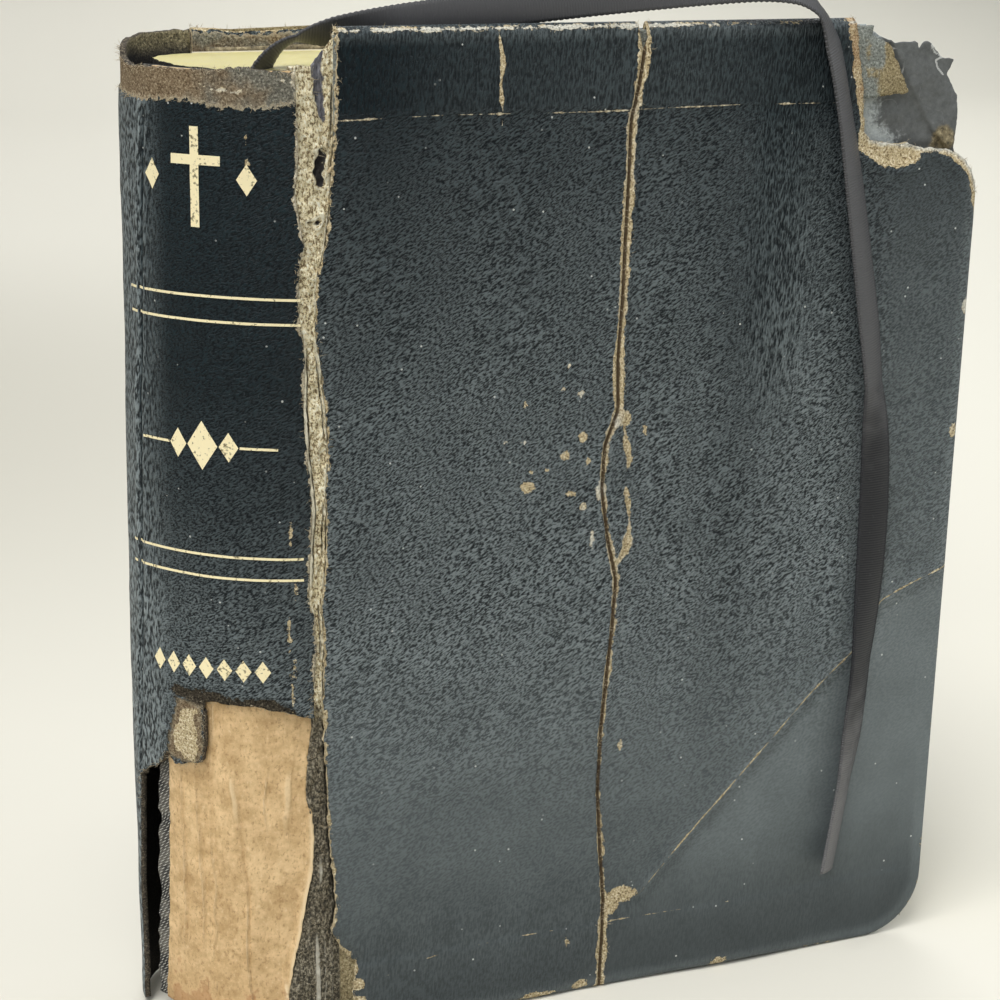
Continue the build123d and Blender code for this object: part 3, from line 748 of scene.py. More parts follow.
def spots(a, b, places):
    """How far inside the nearest of some oval spots each point is, in millimetres; outside is under 0."""
    inner = [(1 - np.hypot((a - p) / w, (b - q) / h)) * min(w, h) for p, q, w, h in places]
    return np.max(inner, axis=0)


def within(a, b, outline):
    """How far inside a closed outline each point is, in millimetres; outside is under 0."""
    far = nearest(a, b, np.r_[outline, outline[:1]])[1]
    return np.where(inside(a, b, outline), far, -far)


def spine_swell(s, z):
    """How far the worn leather of the spine stands out: gentle lumps, and a groove along the crease."""
    crease = nearest(s, z, SPINE_CREASE)[1]
    return (0.22 * lumps(s, z, 11, 21) + 0.08 * lumps(s, z, 4, 22)
            - 0.40 * ridge(crease, 0.45) + 0.18 * ridge(crease - 1.1, 0.7))


leather_black = black_leather("black_leather")
pale_fibre = bare_fibre("loose_fibre", dark=(0.24, 0.18, 0.10), tan=(0.56, 0.47, 0.31),
                        pale=(0.86, 0.80, 0.65))
torn_edge = bare_fibre("torn_leather_edge")
dark_edge = bare_fibre("torn_spine_edge", dark=(0.02, 0.017, 0.013), tan=(0.075, 0.06, 0.042),
                       pale=(0.28, 0.24, 0.17))
# The inside of the spine leather: near-black below the head, painted shade for the hollow behind the spine;
# brown suede where it is rubbed at the head.
n = Nodes("spine_inside")
speck = fibre_speck(n)
tone = fibre_tones(n, speck, (0.006, 0.006, 0.007), (0.016, 0.014, 0.012), (0.05, 0.042, 0.032))
suede = fibre_tones(n, speck, (0.05, 0.043, 0.026), (0.17, 0.148, 0.090), (0.42, 0.37, 0.235))
dark_inside = n.finish(Base_Color=n.mix(n.field("rubbed"), tone, suede), Roughness=0.95,
                       Normal=n.bump(speck, 0.4))
z, s = grid([(1.0, 1.2), (44, 0.38), (66, 0.7), (154, 0.38), (169, None)],
            [(-1.4, 0.35), (4, 0.6), (14, 0.45), (36, 0.8), (57.3, None)])
keep = tear_past(s, z, all_cells(s), SPINE_EDGE, 0.6, 0.10, 23, (-9, 180), (-9, 55))
keep = tear_past(s, z, keep, HEAD_TEAR, 0.6, 0.12, 24, (60, 180), (-9, 180))
keep = tear_past(s, z, keep, TAIL_TEAR, 0.5, 0.10, 25, (-9, -1))
head_suede = z - np.interp(s, *np.transpose(HEAD_SUEDE))
tail_suede = 1.5 + 0.8 * lumps(s, 0, 3, 26) - nearest(s, z, TAIL_SUEDE)[1]
flap_suede = within(s, z, FLAP_SUEDE)
brown = np.max([head_suede, tail_suede, flap_suede + 0.1], axis=0)
crack = 0.15 + 0.3 * lumps(z, 0, 1.4, 27) - nearest(s, z, SPINE_CRACK)[1]
lip = 0.28 + 0.3 * lumps(z, 0, 2.4, 28) - nearest(s, z, SPINE_EDGE)[1]
pleat = np.abs(z - 161.2 - 0.9 * np.sin(s / 2.6) - 0.5 * lumps(s, 0, 2, 25))
pleat = 0.08 + 0.25 * lumps(s, z, 3.0, 31) - pleat - 9 * rise(s, 17, 21)
flap_bare = flap_suede - 1.0 + 0.7 * lumps(s, z, 1.6, 38)
bare = np.max([flap_bare, pleat, crack, spots(s, z, SPINE_SCRAPES), lip], axis=0)
crease_far = nearest(s, z, SPINE_CREASE)[1]
beyond_crease = rise(s - np.interp(z, *SPINE_CREASE[::-1, ::-1].T), -0.3, 0.8)
# Greyer beyond the crease and beside it, as chafe, and greyer low down; kept dark along the crease itself, as
# painted shade in its groove.
chafe = (0.66 * beyond_crease * rise(s, 44, 36) + 0.34 * rise(s, 22, 28) * (1 - beyond_crease)
         + 0.25 * ridge(crease_far - 0.9, 0.5) + np.interp(z, (60, 75, 95, 115), (0.66, 0.54, 0.18, 0.02))
         - 0.9 * ridge(crease_far, 0.28))
rubbed = rise(z - 3.0 * lumps(s, z, 3.0, 39) * rise(s, 54, 44), 162.5, 165.5) * rise(s, 34, 44)
out = spine_swell(s, z) - 0.30 * rise(brown, -0.2, 0.4) + 0.25 * rise(flap_suede, -0.8, 0.3)
points = spine_wall(s, z, -out)
fields = skin_fields(s.shape, bare=bare, brown=brown, chafe=np.clip(chafe, 0, 1), drawn=rise(s, 20, 29),
                     pale=np.maximum(0.4 * rise(lip, -0.3, 0.0), 0.7 * rise(pleat, -0.2, 0.1)),
                     ashen=np.interp(s, (10, 14, 19, 24), (0.12, 0.0, -0.1, -0.25)),
                     dim=rise(z, 75, 70) * rise(flap_suede, 0.6, -0.2))
spine = put_sheet("spine_leather_skin", points, keep, [leather_black, dark_edge, dark_inside],
                  {"rubbed": rubbed} | fields, flip=True)
thicken(spine, SPINE_LEATHER, rim=1, inner=2)
settle(spine, "spine_leather")
row(-13.6, 35.2, 85)
row(-11.4, 36.4, 85)
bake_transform(spine)
frayed = np.min([nearest(s, z, line)[1] for line in (HEAD_TEAR, TAIL_TEAR, SPINE_EDGE)], axis=0)
frayed = np.minimum(frayed, np.abs(head_suede - 0.2) + 0.15) < 0.45
fibre_places = worn_places(points, keep, frayed & (s < 40) & (z > 40), 700, 29, flip=True)
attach(loose_fibres("spine_loose_fibres", *fibre_places, 1.0, 30), "book_block")

# Gilding on the spine.
# Two pairs of thin gold rules, pressed into the leather with a hot tool, with plain ornaments between them;
# the foil is rubbed thin on the high grain.
RULE_HEIGHTS = (128.9, 125.0, 87.0, 83.4)
RULE_MIDDLE, RULE_HALF, RULE_WEIGHT = 16.6, 16.0, 0.21
FOIL_LIFT, FOIL_GRID = 0.07, (3, 33)
foil_places = [(RULE_MIDDLE, z, (RULE_HALF, 0), (0, RULE_WEIGHT)) for z in RULE_HEIGHTS]      # and half sides
foil_places += [(17.0, 147.0, (0, 7.6), (-0.75, 0)), (17.0, 149.6, (4.3, 0), (0, 0.75))]
foil_places += [(17.0 + side * 8.4, 147.0, (-0.8, 1.2), (-0.8, -1.2)) for side in (-1, 1)]
foil_places += [(RULE_MIDDLE, 105.0, (-1.3, 2.0), (-1.3, -2.0))]
foil_places += [(RULE_MIDDLE + side * 4.4, 105.0, (-0.8, 1.2), (-0.8, -1.2)) for side in (-1, 1)]
foil_places += [(RULE_MIDDLE + side * 9.2, 105.0, (3.0, 0), (0, RULE_WEIGHT)) for side in (-1, 1)]
foil_places += [(RULE_MIDDLE + k * 3.1, 67.6, (-0.65, 0.95), (-0.65, -0.95)) for k in range(-3, 4)]
n = Nodes("worn_gold")
lighter_share = n.step(n.noise(0.5, 3.0) + n.noise(4.0) * 0.5, 0.52, 0.70)
worn_gold = n.finish(Base_Color=n.mix(lighter_share, (0.20, 0.165, 0.08), (0.95, 0.84, 0.54)), Roughness=0.40,
                     Metallic=n.blend(lighter_share, 0.0, 0.30), Normal=n.bump(n.noise(0.4, 2.0), 0.03))
foil_q, foil_p = np.meshgrid(*(np.linspace(-1, 1, count) for count in FOIL_GRID), indexing="ij")
foil_points, foil_faces = [], []
for middle_s, middle_z, half_p, half_q in foil_places:
    s = middle_s + foil_p * half_p[0] + foil_q * half_q[0]
    z = middle_z + foil_p * half_p[1] + foil_q * half_q[1] + 0.6 * np.cos((s - RULE_MIDDLE) / 11)
    foil_faces.append(grid_faces(*FOIL_GRID)[:, ::-1] + len(foil_points) * foil_p.size)
    foil_points.append(spine_wall(s, z, -spine_swell(s, z) - FOIL_LIFT).reshape(-1, 3))
gilding = put_mesh("spine_gilding", np.concatenate(foil_points), np.concatenate(foil_faces), [worn_gold])
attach(gilding, "book_block")

# Front joint.
# The leather has split all along this joint, and its bare core shows as a band of matted tan fibre, with a
# few loose plies of paper and cloth in the torn tail.
JOINT_THICK, JOINT_TUCK = 0.5, 0.8           # and how far the band goes on under the leather at each edge
JOINT_CHANNEL = [(-0.3, 166), (-0.1, 164), (0.2, 161), (0.6, 158.4), (1.0, 156)]
JOINT_SLOT = [(0.4, 151.6), (0.7, 150.5), (0.1, 148.4), (0.3, 146.6)]
JOINT_KNOT = [(-1.5, 140.8), (-0.4, 140.7), (0.2, 141.2)]
z, t = grid([(4, 0.30), (164.2, None)], [(0, 1 / 32), (1, None)])
low = np.interp(z, *JOINT_GAP[:, [0, 1]].T) - JOINT_TUCK
high = np.interp(z, *JOINT_GAP[:, [0, 2]].T) + JOINT_TUCK
u = low + t * (high - low)
from_left, from_right = u - low - JOINT_TUCK, high - JOINT_TUCK - u
patch = rise(lumps(z, 0, 3.2, 40), -0.3, 0.3)
split = rise(z, 80, 86) * rise(z, 123, 119)
lip = np.maximum(ridge(from_left - 0.12, 0.26) * (0.35 + 0.65 * split),
                 ridge(from_right - 0.08, 0.20) * (0.3 + 0.7 * patch)) * rise(z, 58, 64)
groove = ridge(from_right - 0.42, 0.12) * rise(lumps(z, 0, 4.5, 44), 0.0, 0.5) * rise(z, 66, 72)
groove = np.maximum(ridge(from_left - 0.55, 0.13) * split, groove)
torn = rise(z, 63, 57)
tucked = rise(np.minimum(u - low, high - u), JOINT_TUCK + 0.15, JOINT_TUCK - 0.4)
wander = 0.30 * lumps(u, z, 1.5, 35) + 0.2 * lumps(u, z, 0.7, 36)
sunk = wander + np.maximum(0.62 - nearest(u, z, JOINT_SLOT)[1], 0.36 - nearest(u, z, JOINT_KNOT)[1])
channel = np.interp(z, (155.5, 165), (0.2, 1.15)) + wander - nearest(u, z, JOINT_CHANNEL)[1]
way = u + 0.5 * lumps(z, 0, 9, 31)
ply = (ridge(way + 0.9, 0.42) + 0.9 * ridge(way + 2.3, 0.34) + 0.6 * ridge(way - 0.4, 0.22)
       + 0.5 * ridge(way - 1.6, 0.2))
ply = ply * rise(z, 40, 26) * rise(lumps(u, z / 3, 4, 37), -0.8, -0.1)
out = 0.34 * lumps(u, z / 2.2, 1.1, 32) + 0.26 * lumps(u, z, 0.6, 33)
out += 0.25 * lumps(z, u / 6, 5, 34) + 0.45 * ply + 0.3 * ridge(sunk + 0.3, 0.25)
out += 0.35 * lip - 0.6 * groove
out -= 0.9 * rise(sunk, -0.2, 0.4) + 0.5 * rise(channel, -0.2, 0.3)
z = z + rise(z, 157, 164.2) * np.clip(u + 1.0, 0, 4.2) * 1.2
v = 1.35 - 0.45 * t + 0.8 * torn + 1.0 * tucked - out * (1 - tucked)
n = Nodes("bare_leather")
speck = n.noise(1.0, 3.0, n.laid((0.42, 0.42, 0.65)), 0.75) * 1.5 - 0.25
fray = n.noise(1.2, 3.0, None, 0.6)
streak = n.noise(1.0, 3.0, n.laid((0.3, 0.4, 2.4)), 0.7)
tone = fibre_tones(n, speck, (0.20, 0.145, 0.072), (0.82, 0.71, 0.45), (1.0, 0.97, 0.80))
grey = fibre_tones(n, speck, (0.040, 0.036, 0.026), (0.14, 0.12, 0.082), (0.40, 0.36, 0.27))
cloth_ply = n.mix(fray, (0.34, 0.32, 0.26), (0.86, 0.82, 0.70))
pale_lip = n.mix(speck, (0.62, 0.56, 0.38), (0.96, 0.93, 0.78))
bed = n.mix(n.step(streak, 0.3, 0.7), (0.045, 0.045, 0.058), (0.25, 0.25, 0.275))
pit_shade = n.mix(speck, (0.006, 0.006, 0.008), (0.055, 0.05, 0.05))
tone = n.mix(n.step(fray * 8.0 + n.field("height"), 66, 62), tone, grey)
tone = n.mix(n.step(n.field("ply"), 0.35, 0.75), tone, cloth_ply)
tone = n.mix(n.step(fray * 0.9 + n.field("lip"), 0.75, 1.05), tone, pale_lip)
# Painted shade: dark in the narrow grooves beside the pale lips.
tone = n.mix(n.step(n.field("groove"), 0.3, 0.7) * 0.85, tone, (0.045, 0.033, 0.020))
tone = n.mix(n.step(fray * 0.9 + n.field("channel"), 0.42, 0.62), tone, bed)
# Painted shade: near-black down in the sunk slot and knot.
tone = n.mix(n.step(n.field("sunk") + fray, 0.55, 0.68), tone, pit_shade)
bare_leather = n.finish(Base_Color=tone, Roughness=0.95, Normal=n.bump(speck, 0.5))
points = row(u, v, z)
joint = put_mesh("front_joint_fibre", points, grid_faces(*u.shape), [bare_leather],
                 {"height": z, "ply": ply, "sunk": sunk, "channel": channel, "groove": groove,
                  "lip": np.maximum(lip, 0.55 * ridge(sunk + 0.25, 0.2))})
thicken(joint, JOINT_THICK)
settle(joint, "front_joint")
fibre_places = worn_places(points, all_cells(u), (tucked < 0.5) & (sunk < 0), 550, 38)
for piece in (joint, loose_fibres("joint_loose_fibres", *fibre_places, 1.3, 39)):
    row(-2.2, 1.0, 85)
    row(1.4, 1.0, 85)
    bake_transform(piece)

# Front cover's leather.
# One piece of black leather, folded over the head, fore-edge and tail of a flexible board. A split runs from
# head to tail where the cover was bent, one corner is dog-eared, and another is torn away.
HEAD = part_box("front_leather")[1].z / MM
COVER_WIDE, COVER_CORNER, COVER_FOLD, SKIN = 116.5, 12.0, 1.25, 0.9
COVER_SPLIT = [                              # along from the hinge and up, as in the lines below
    (52.5, 179), (52.5, 169.5), (53, 165.7), (52.4, 161), (51.2, 154.8), (51.1, 146.9), (50.8, 137.3),
    (50.5, 125.9), (50.1, 116), (50.4, 107.5), (48.3, 101.7), (48, 94), (49.4, 85), (51.1, 77.7),
    (50.7, 68.8), (49.9, 59.7), (49.2, 50.5), (49, 39.2), (49.8, 27.5), (50.7, 17.6), (50.6, 7.6), (50.5, -8)]
SPLIT_BRANCH = [(51.6, 105), (52.2, 101.5), (52.7, 99), (52.4, 93.5), (53.4, 88.1), (52.6, 82.6),
                (50.7, 80.6)]
SPLIT_KNOT = (51.2, 105.6)
HEAD_CRACK = np.array([(28.5, 168.5), (29.2, 164.6), (28.8, 160.9), (29.2, 156.6)])
DOG_EAR = np.array([(118, 74), (107, 69.9), (103, 68.1), (97.6, 58.8), (89.9, 52.5), (82.3, 44.8),
                    (74.8, 37.2), (69.1, 31.2), (63.5, 24.9), (57.9, 18.3)])
HEAD_FOLD = np.array([(4, 156.2), (20, 156.6), (45, 156.3), (70, 156.8), (88, 156.6)])
TAIL_FOLD = np.array([(6.5, 8.2), (12.8, 11.2), (20.1, 12.6), (27.5, 13.1), (35, 13.3), (60, 13.2),
                      (82, 13.3)])
COVER_CHIPS = [                              # and half width, half height
    (34.7, 95.7, 1.2, 1.0), (44.2, 103.4, 0.9, 0.9), (41.2, 100.5, 0.9, 0.8), (42.6, 93.9, 1.0, 0.6),
    (44.6, 91.3, 0.6, 0.8), (43.7, 110.7, 0.5, 0.6), (40.4, 111.7, 0.4, 0.4), (33.8, 109.8, 0.4, 0.5),
    (41.3, 115.6, 0.4, 0.5), (30.6, 103.9, 0.5, 0.5), (33.8, 103.3, 0.4, 0.6), (35.4, 98.3, 0.5, 0.4),
    (38.0, 98.4, 0.4, 0.4), (46.5, 85.5, 0.4, 1.4), (45.3, 99.0, 0.5, 0.8), (55.3, 103.7, 0.5, 0.7),
    (52.9, 47.1, 0.5, 0.8), (51.2, 106.1, 1.6, 1.5), (47.6, 94.0, 0.9, 1.6), (54.0, 18.1, 2.9, 1.7),
    (52.2, 16.2, 1.6, 1.7), (115.9, 121.0, 0.9, 1.4), (115.4, 98.6, 0.8, 1.2), (74.0, 1.2, 1.6, 0.9),
    (46.7, 1.3, 1.6, 0.9), (4.6, 12.4, 0.9, 1.5), (5.2, 9.2, 1.4, 1.3), (5.4, 5.2, 1.7, 1.9),
    (38.5, 0.9, 3.0, 0.8), (44.0, 10.6, 0.45, 0.9)]
CORNER_TEAR = [
    (90.4, 180), (90.5, 170.5), (91.1, 167.2), (91.8, 163.2), (92.8, 158.6), (93.2, 154.5), (93.6, 151.6),
    (95, 150.2), (97, 149.6), (100, 149.4), (103, 149.1), (105, 148.5), (107.5, 148.4), (109.5, 148.2),
    (111.5, 147.6), (113.4, 146.2), (114.9, 144.4), (116.2, 141.2), (118, 139), (126, 137)]
CORNER_BARE = np.array([
    (88.6, 180), (88.9, 170.1), (89.2, 167), (89.9, 163.4), (91.2, 159), (92.4, 155), (92.7, 151.4),
    (92.4, 148.8), (95.2, 146.9), (97.8, 145.6), (100.7, 145.3), (103.6, 146.0), (104.8, 147.8),
    (107.5, 147.9), (110.3, 146.8), (112.4, 145.4), (114.2, 143.1), (115.4, 138.4), (118, 134),
    (127, 132), (127, 181)])
HEAD_NOTCH = np.array([(51.2, 180), (51.9, 168.2), (52.8, 165.4), (53.5, 168.4), (54.0, 180)])
FRONT_PAINTED_SHEEN = [                               # height, and how far painted sheen, the pale table's reflection, greys the leather there
    (5, 0.40), (17, 0.50), (26, 0.66), (47, 0.84), (68, 0.92), (80, 0.88), (100, 0.76), (110, 0.68),
    (121, 0.52), (132, 0.40), (150, 0.20), (158, 0.13), (172, 0.12)]


def beside(a, b, outline):
    """Distance from a line of straight runs, over 0 on its left and under 0 on its right."""
    near, far = nearest(a, b, outline)
    middle, run = (outline[:-1] + outline[1:]) / 2, np.diff(outline, axis=0)
    leg = np.linalg.norm(near[..., None, :] - middle, axis=-1) - np.linalg.norm(run, axis=1) / 2
    run = run[leg.argmin(-1)]
    turn = run[..., 0] * (b - near[..., 1]) - run[..., 1] * (a - near[..., 0])
    return np.where(turn < 0, -far, far)


def folded(a, b):
    """Leather laid flat, wrapped round a board's three free edges: past the start of the fold it goes half
    round a small circle and back; returns u, z, the depth behind the outer face, and how far past it is."""
    reach = COVER_CORNER - COVER_FOLD
    x = a - (COVER_WIDE - COVER_CORNER)
    y = np.abs(b - HEAD / 2) - (HEAD / 2 - COVER_CORNER)
    corner, length = (x > 0) & (y > 0), np.maximum(np.hypot(x, y), 1e-6)
    past = np.where(corner, length, np.maximum(x, y)) - reach
    out_a = np.where(corner, x / length, x >= y)
    out_b = np.where(corner, y / length, x < y) * np.sign(b - HEAD / 2)
    turn = np.clip(past / COVER_FOLD, 0, np.pi)
    move = COVER_FOLD * np.sin(turn) - np.maximum(past - np.pi * COVER_FOLD, 0) - np.maximum(past, 0)
    return a + out_a * move, b + out_b * move, COVER_FOLD * (1 - np.cos(turn)), past


def thin_crack(a, b, line, open_by, vary, seed):
    """The signed distance from a thin crack and its half width, which wanders and may fall to nothing."""
    side = beside(a, b, line)
    wide = open_by + vary * lumps(a, b, 2.6, seed) + 0.08 * lumps(a, b, 0.9, seed + 1)
    return side, np.where(np.abs(side) < 2.0, wide, -9.0)


b, a = grid([(-7, 0.5), (1, 0.5), (16, 0.75), (138, 0.42), (158, 0.6), (165, 0.4), (177, None)],
            [(-1.2, 0.3), (5.5, 0.75), (46, 0.25), (56, 0.75), (86, 0.42), (123, None)])
hinge_edge = np.r_[[(4.8, -9)], JOINT_GAP[:, [2, 0]]]
keep = tear_past(a, b, all_cells(a), hinge_edge, 0.6, 0.12, 41, (-9, 180), (-9, -9))
keep = tear_past(a, b, keep, CORNER_TEAR, 0.55, 0.10, 42, (127, 181), (90, 181))
keep = tear_off(a, b, keep, HEAD_NOTCH)
u, z, depth, past = folded(a, b)
hinge_far, corner_far, split_far, branch_far = (
    nearest(a, b, line)[1] for line in (hinge_edge, CORNER_TEAR, COVER_SPLIT, SPLIT_BRANCH))
split_wear = (0.50 + 0.42 * rise(b, 100, 112) + 0.45 * rise(b, 17, 12) + 0.22 * lumps(b, 0, 3.5, 43)
              + 0.22 * lumps(b, a, 1.1, 44) - split_far)
branch_wear = 0.40 + 0.55 * lumps(b, 0, 4.0, 45) + 0.25 * lumps(b, a, 1.1, 47) - branch_far
split_wear = np.maximum(split_wear, branch_wear)
in_split = split_wear > -0.6
knot_far = np.hypot(a - SPLIT_KNOT[0], b - SPLIT_KNOT[1])
corner_bare = within(a, b, CORNER_BARE)
corner_bare += 0.7 * lumps(a, b, 2.1, 70) * rise(a, 96, 93) * rise(b, 147, 150)
low_half = b < HEAD / 2
head_crack, dog_ear, head_fold, tail_fold = (thin_crack(a, b, *crack) for crack in (
    (HEAD_CRACK, 0.24, 0.42, 46), (DOG_EAR, 0.13, 0.12, 48), (HEAD_FOLD, 0.03, 0.17, 50),
    (TAIL_FOLD, -0.10, 0.24, 56)))
line, line_open = np.where(low_half, dog_ear, head_crack)
level_line, level_open = np.where(low_half, tail_fold, head_fold)
at_head = (b > HEAD / 2) & (a < 92)
edge_wear = 0.16 + 0.45 * lumps(a, b, 3.0, 51) - 0.8 * np.abs(past - 0.9)
edge_wear = edge_wear - np.where(at_head, 0.25 * rise(a, 62, 70), 0.45)
# A whitish line along the head's fold: worn fibre, and also a painted highlight along its rounded edge.
head_line = (0.30 + 0.25 * lumps(a, 0, 2.5, 48) - np.abs(past - 0.7)) * at_head - 9.0 * ~at_head
head_line -= 0.5 * rise(a, 60, 72)
hinge_wear = 0.25 + 0.35 * lumps(b, a, 2.0, 52) - hinge_far
hinge_wear += 0.5 * lumps(a, b, 1.6, 60) * rise(b, 24, 12)
chips = spots(a, b, COVER_CHIPS)
bare = np.max([corner_bare, edge_wear, hinge_wear, head_line, chips, 1.5 * split_wear], axis=0)
rust = rise(corner_bare, -0.5, 0.3) * rise(a, 95, 92.5) * rise(b, 146, 150)
rust = rust * (0.5 + 0.45 * lumps(a, b, 1.6, 57)) * rise(b, 155, 159)
blotch = rise(lumps(a, b, 3.1, 49), -0.4, 0.6)
pale = np.max([0.9 * rise(head_line, -0.3, 0.05), 0.9 * rise(chips, -0.4, 0.1) * rise(b, 20, 30) * blotch,
               0.9 * rise(corner_far, 0.7, 0.25) * rise(a, 93, 96), 0.25 * (np.abs(head_fold[0]) < 1.5),
               0.45 * rise(split_wear, 0.35, 0.0) * blotch * in_split], axis=0)
ear_near, ear_far = nearest(a, b, DOG_EAR)
below_ear = rise((a - ear_near[..., 0]) - (b - ear_near[..., 1]), 0, 6)
turn_in = np.max([rise(b, 156.0, 157.2), rise(b, 13.6, 12.6), rise(a, 111.0, 112.0)], axis=0)
out = (0.35 * lumps(a, b, 30, 53) + 0.10 * lumps(a, b, 8, 54) + 0.18 * turn_in
       - 0.45 * ridge(split_far, 0.32) + 0.30 * ridge(split_far - 0.9, 0.6) - 0.3 * ridge(branch_far, 0.3)
       - 0.55 * rise(corner_bare, -0.2, 1.6) + 0.25 * ridge(corner_bare + 0.9, 0.8)
       + 0.30 * ridge(ear_far, 1.3) - 0.018 * below_ear * np.minimum(ear_far, 40)
       + 0.9 * ridge(a - 76, 17) - 0.5 * rise(hinge_far, 2.2, 0.0))
# How grey the leather is: mostly painted sheen, the table's reflection, with a darker upper left and upright
# darker and lighter bands as painted shade and sheen from the cover's bow, and the bent corner below the
# dog-ear lighter; real chafe along the dog-ear's crease and on the folded edges.
chafe = (np.interp(b, *np.transpose(FRONT_PAINTED_SHEEN)) + 0.22 * below_ear * rise(ear_far, 0, 3) * rise(b, 6, 28)
         - 0.12 * rise(a, 26, 6) * rise(b, 70, 90) + 0.10 * ridge(a - 54, 16) * rise(b, 112, 130)
         - 0.20 * ridge(a - 71, 6.5) * rise(b, 38, 60) * rise(b, 150, 120)
         + 0.12 * ridge(a - 87, 7) * rise(b, 50, 90) * rise(b, 156, 150)
         + 0.08 * rise(a, 92, 104) * rise(b, 105, 135)
         - 0.10 * rise(a, 96, 110) * rise(b, 125, 95) * (1 - below_ear)
         + 0.20 * ridge(ear_far, 0.6) + 0.25 * rise(past, -2.0, 0))
drawn = np.max([ridge(a - 78, 7) * rise(b, 90, 125), 0.7 * rise(b, 32, 14), 0.8 * rise(b, 156, 158)], axis=0)
grain = (1 - 0.72 * rise(b, 82, 30)) * (1 - 0.5 * rise(a, 92, 104)) * (1 - 0.5 * below_ear)
grain = grain * (1 - 0.30 * rise(b, 156, 158))
points = row(u, depth - out * np.clip(1 - past / COVER_FOLD, 0, 1), z)
fields = skin_fields(a.shape, bare=bare, open=line_open, line=line, level_open=level_open,
                     level_line=level_line, split=np.where(in_split, np.minimum(split_far, knot_far), 9.0),
                     chafe=np.clip(chafe, 0, 1), drawn=drawn, grain=grain, rust=rust, pale=pale)
front_leather = put_sheet("front_leather_skin", points, keep, [leather_black, torn_edge], fields)
thicken(front_leather, SKIN, rim=1, rim_only=True)
settle(front_leather, "front_leather", "front_cover")
frayed = (hinge_far < 0.4) | (corner_far < 0.5) | (np.abs(split_wear - 0.2) < 0.25)
frayed |= (np.abs(head_line) < 0.2) & (a < 70)
fibre_places = worn_places(points, keep, frayed & (b > 1.6), 1000, 58)
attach(loose_fibres("front_loose_fibres", *fibre_places, 0.8, 59), "front_cover")

# Front cover's board.
# A flexible board of pressed leather fibre between the leather and the lining; its tan, furry face is bare
# in the torn corner.
BOARD_FACE, BOARD_THICK = 1.0, 0.9
BOARD_TEAR = [(93.4, 175), (94.6, 169.4), (94.2, 167.2), (97.8, 165.7), (102.0, 157.7), (94.7, 157.0),
              (91.0, 156.7), (91.0, 147.2), (95.2, 144.9), (100.7, 143.5), (106, 145.6), (111, 143.6),
              (114, 139), (127, 136)]
n = Nodes("cover_board")
speck = fibre_speck(n)
tone = fibre_tones(n, speck, (0.13, 0.10, 0.05), (0.30, 0.24, 0.125), (0.58, 0.50, 0.32))
grey = fibre_tones(n, speck, (0.12, 0.13, 0.115), (0.24, 0.26, 0.235), (0.46, 0.485, 0.445))
tone = n.mix(n.step(n.noise(1.4, 4.0, None, 0.7) * 1.4 + n.field("scuff"), 1.0, 1.4), tone, grey)
cover_board = n.finish(Base_Color=tone, Roughness=0.95, Normal=n.bump(speck, 0.5))
z, u = grid([(1.1, 12), (138, 0.5), (168.9, None)], [(2.5, 12), (86, 0.5), (115.3, None)])
keep = tear_past(u, z, all_cells(u), BOARD_TEAR, 0.5, 0.12, 61, (127, 175))
u, z, _, past = folded(np.minimum(u, 114), np.clip(z, 2.6, 168.7))
scuff = rise(u + 2.4 * lumps(u, z, 2.4, 81), 98.0, 93.6) * rise(z, 150, 154)
board = put_sheet("front_board_fibre", row(u, BOARD_FACE + 0.18 * lumps(u, z, 2.5, 62), z),
                  keep & (past[1:, 1:] < 0.9), [cover_board], {"scuff": scuff})
thicken(board, BOARD_THICK)
settle(board, "front_board", "front_cover")

# Front cover's lining.
# Dark paper pasted over the inside of the cover; in the torn corner it is all that is left, creased, scuffed
# to bluish grey and curled at its tip.
LINING_FACE, LINING_THICK, LINING_MARGIN = 2.42, 0.25, 3.0
LINING_TEAR = [
    (93.2, 175), (93.4, 170.0), (93.9, 168.5), (96.5, 166.9), (98.2, 166.2), (99.1, 165.7), (101.5, 165.9),
    (103.4, 165.8), (103.9, 164.7), (104.6, 166.0), (105.6, 165.9), (107.0, 164.4), (108.5, 163.1),
    (110.9, 162.9), (110.5, 161.6), (109.7, 160.6), (111.0, 158.4), (112.0, 156.9), (112.3, 152.0),
    (112.1, 148.1), (113.0, 146.5), (127, 144)]
LINING_SUEDE = [(109.8, 149.6, 2.6, 2.2)]
LINING_CRUMPLE = [(106.1, 165.4), (106.8, 164.1), (108.5, 163.3), (107.2, 162.8), (107.7, 161.5),
                  (108.9, 160.4)]
LINING_FOLD = [(98.6, 165.9), (99.6, 163.9), (102.2, 159.4), (104.6, 155.6), (107.5, 151.2)]
n = Nodes("lining_paper")
cloud = n.noise(0.9, 4.0, None, 0.7)
flakes = n.mix(n.noise(0.45, 4.0, None, 0.75), (0.13, 0.155, 0.16), (0.60, 0.64, 0.63))
suede = fibre_tones(n, cloud, (0.075, 0.060, 0.034), (0.19, 0.155, 0.088), (0.40, 0.34, 0.21))
tone = n.mix(cloud, (0.040, 0.045, 0.047), (0.165, 0.173, 0.170))
tone = n.mix(n.step(n.field("scuff") + cloud * 1.2, 0.8, 1.3), tone, flakes)
tone = n.mix(n.step(n.field("crease"), 0.35, 0.85) * 0.75, tone, (0.62, 0.63, 0.61))
tone = n.mix(n.field("brown"), tone, suede)
lining_paper = n.finish(Base_Color=tone, Roughness=0.72, Normal=n.bump(cloud, 0.10))
z, u = grid([(LINING_MARGIN, 6), (140, 0.25), (168.8, None)],
            [(2.5, 6), (88, 0.25), (COVER_WIDE - LINING_MARGIN, None)])
keep = tear_past(u, z, all_cells(u), LINING_TEAR, 0.5, 0.05, 63, (127, 175))
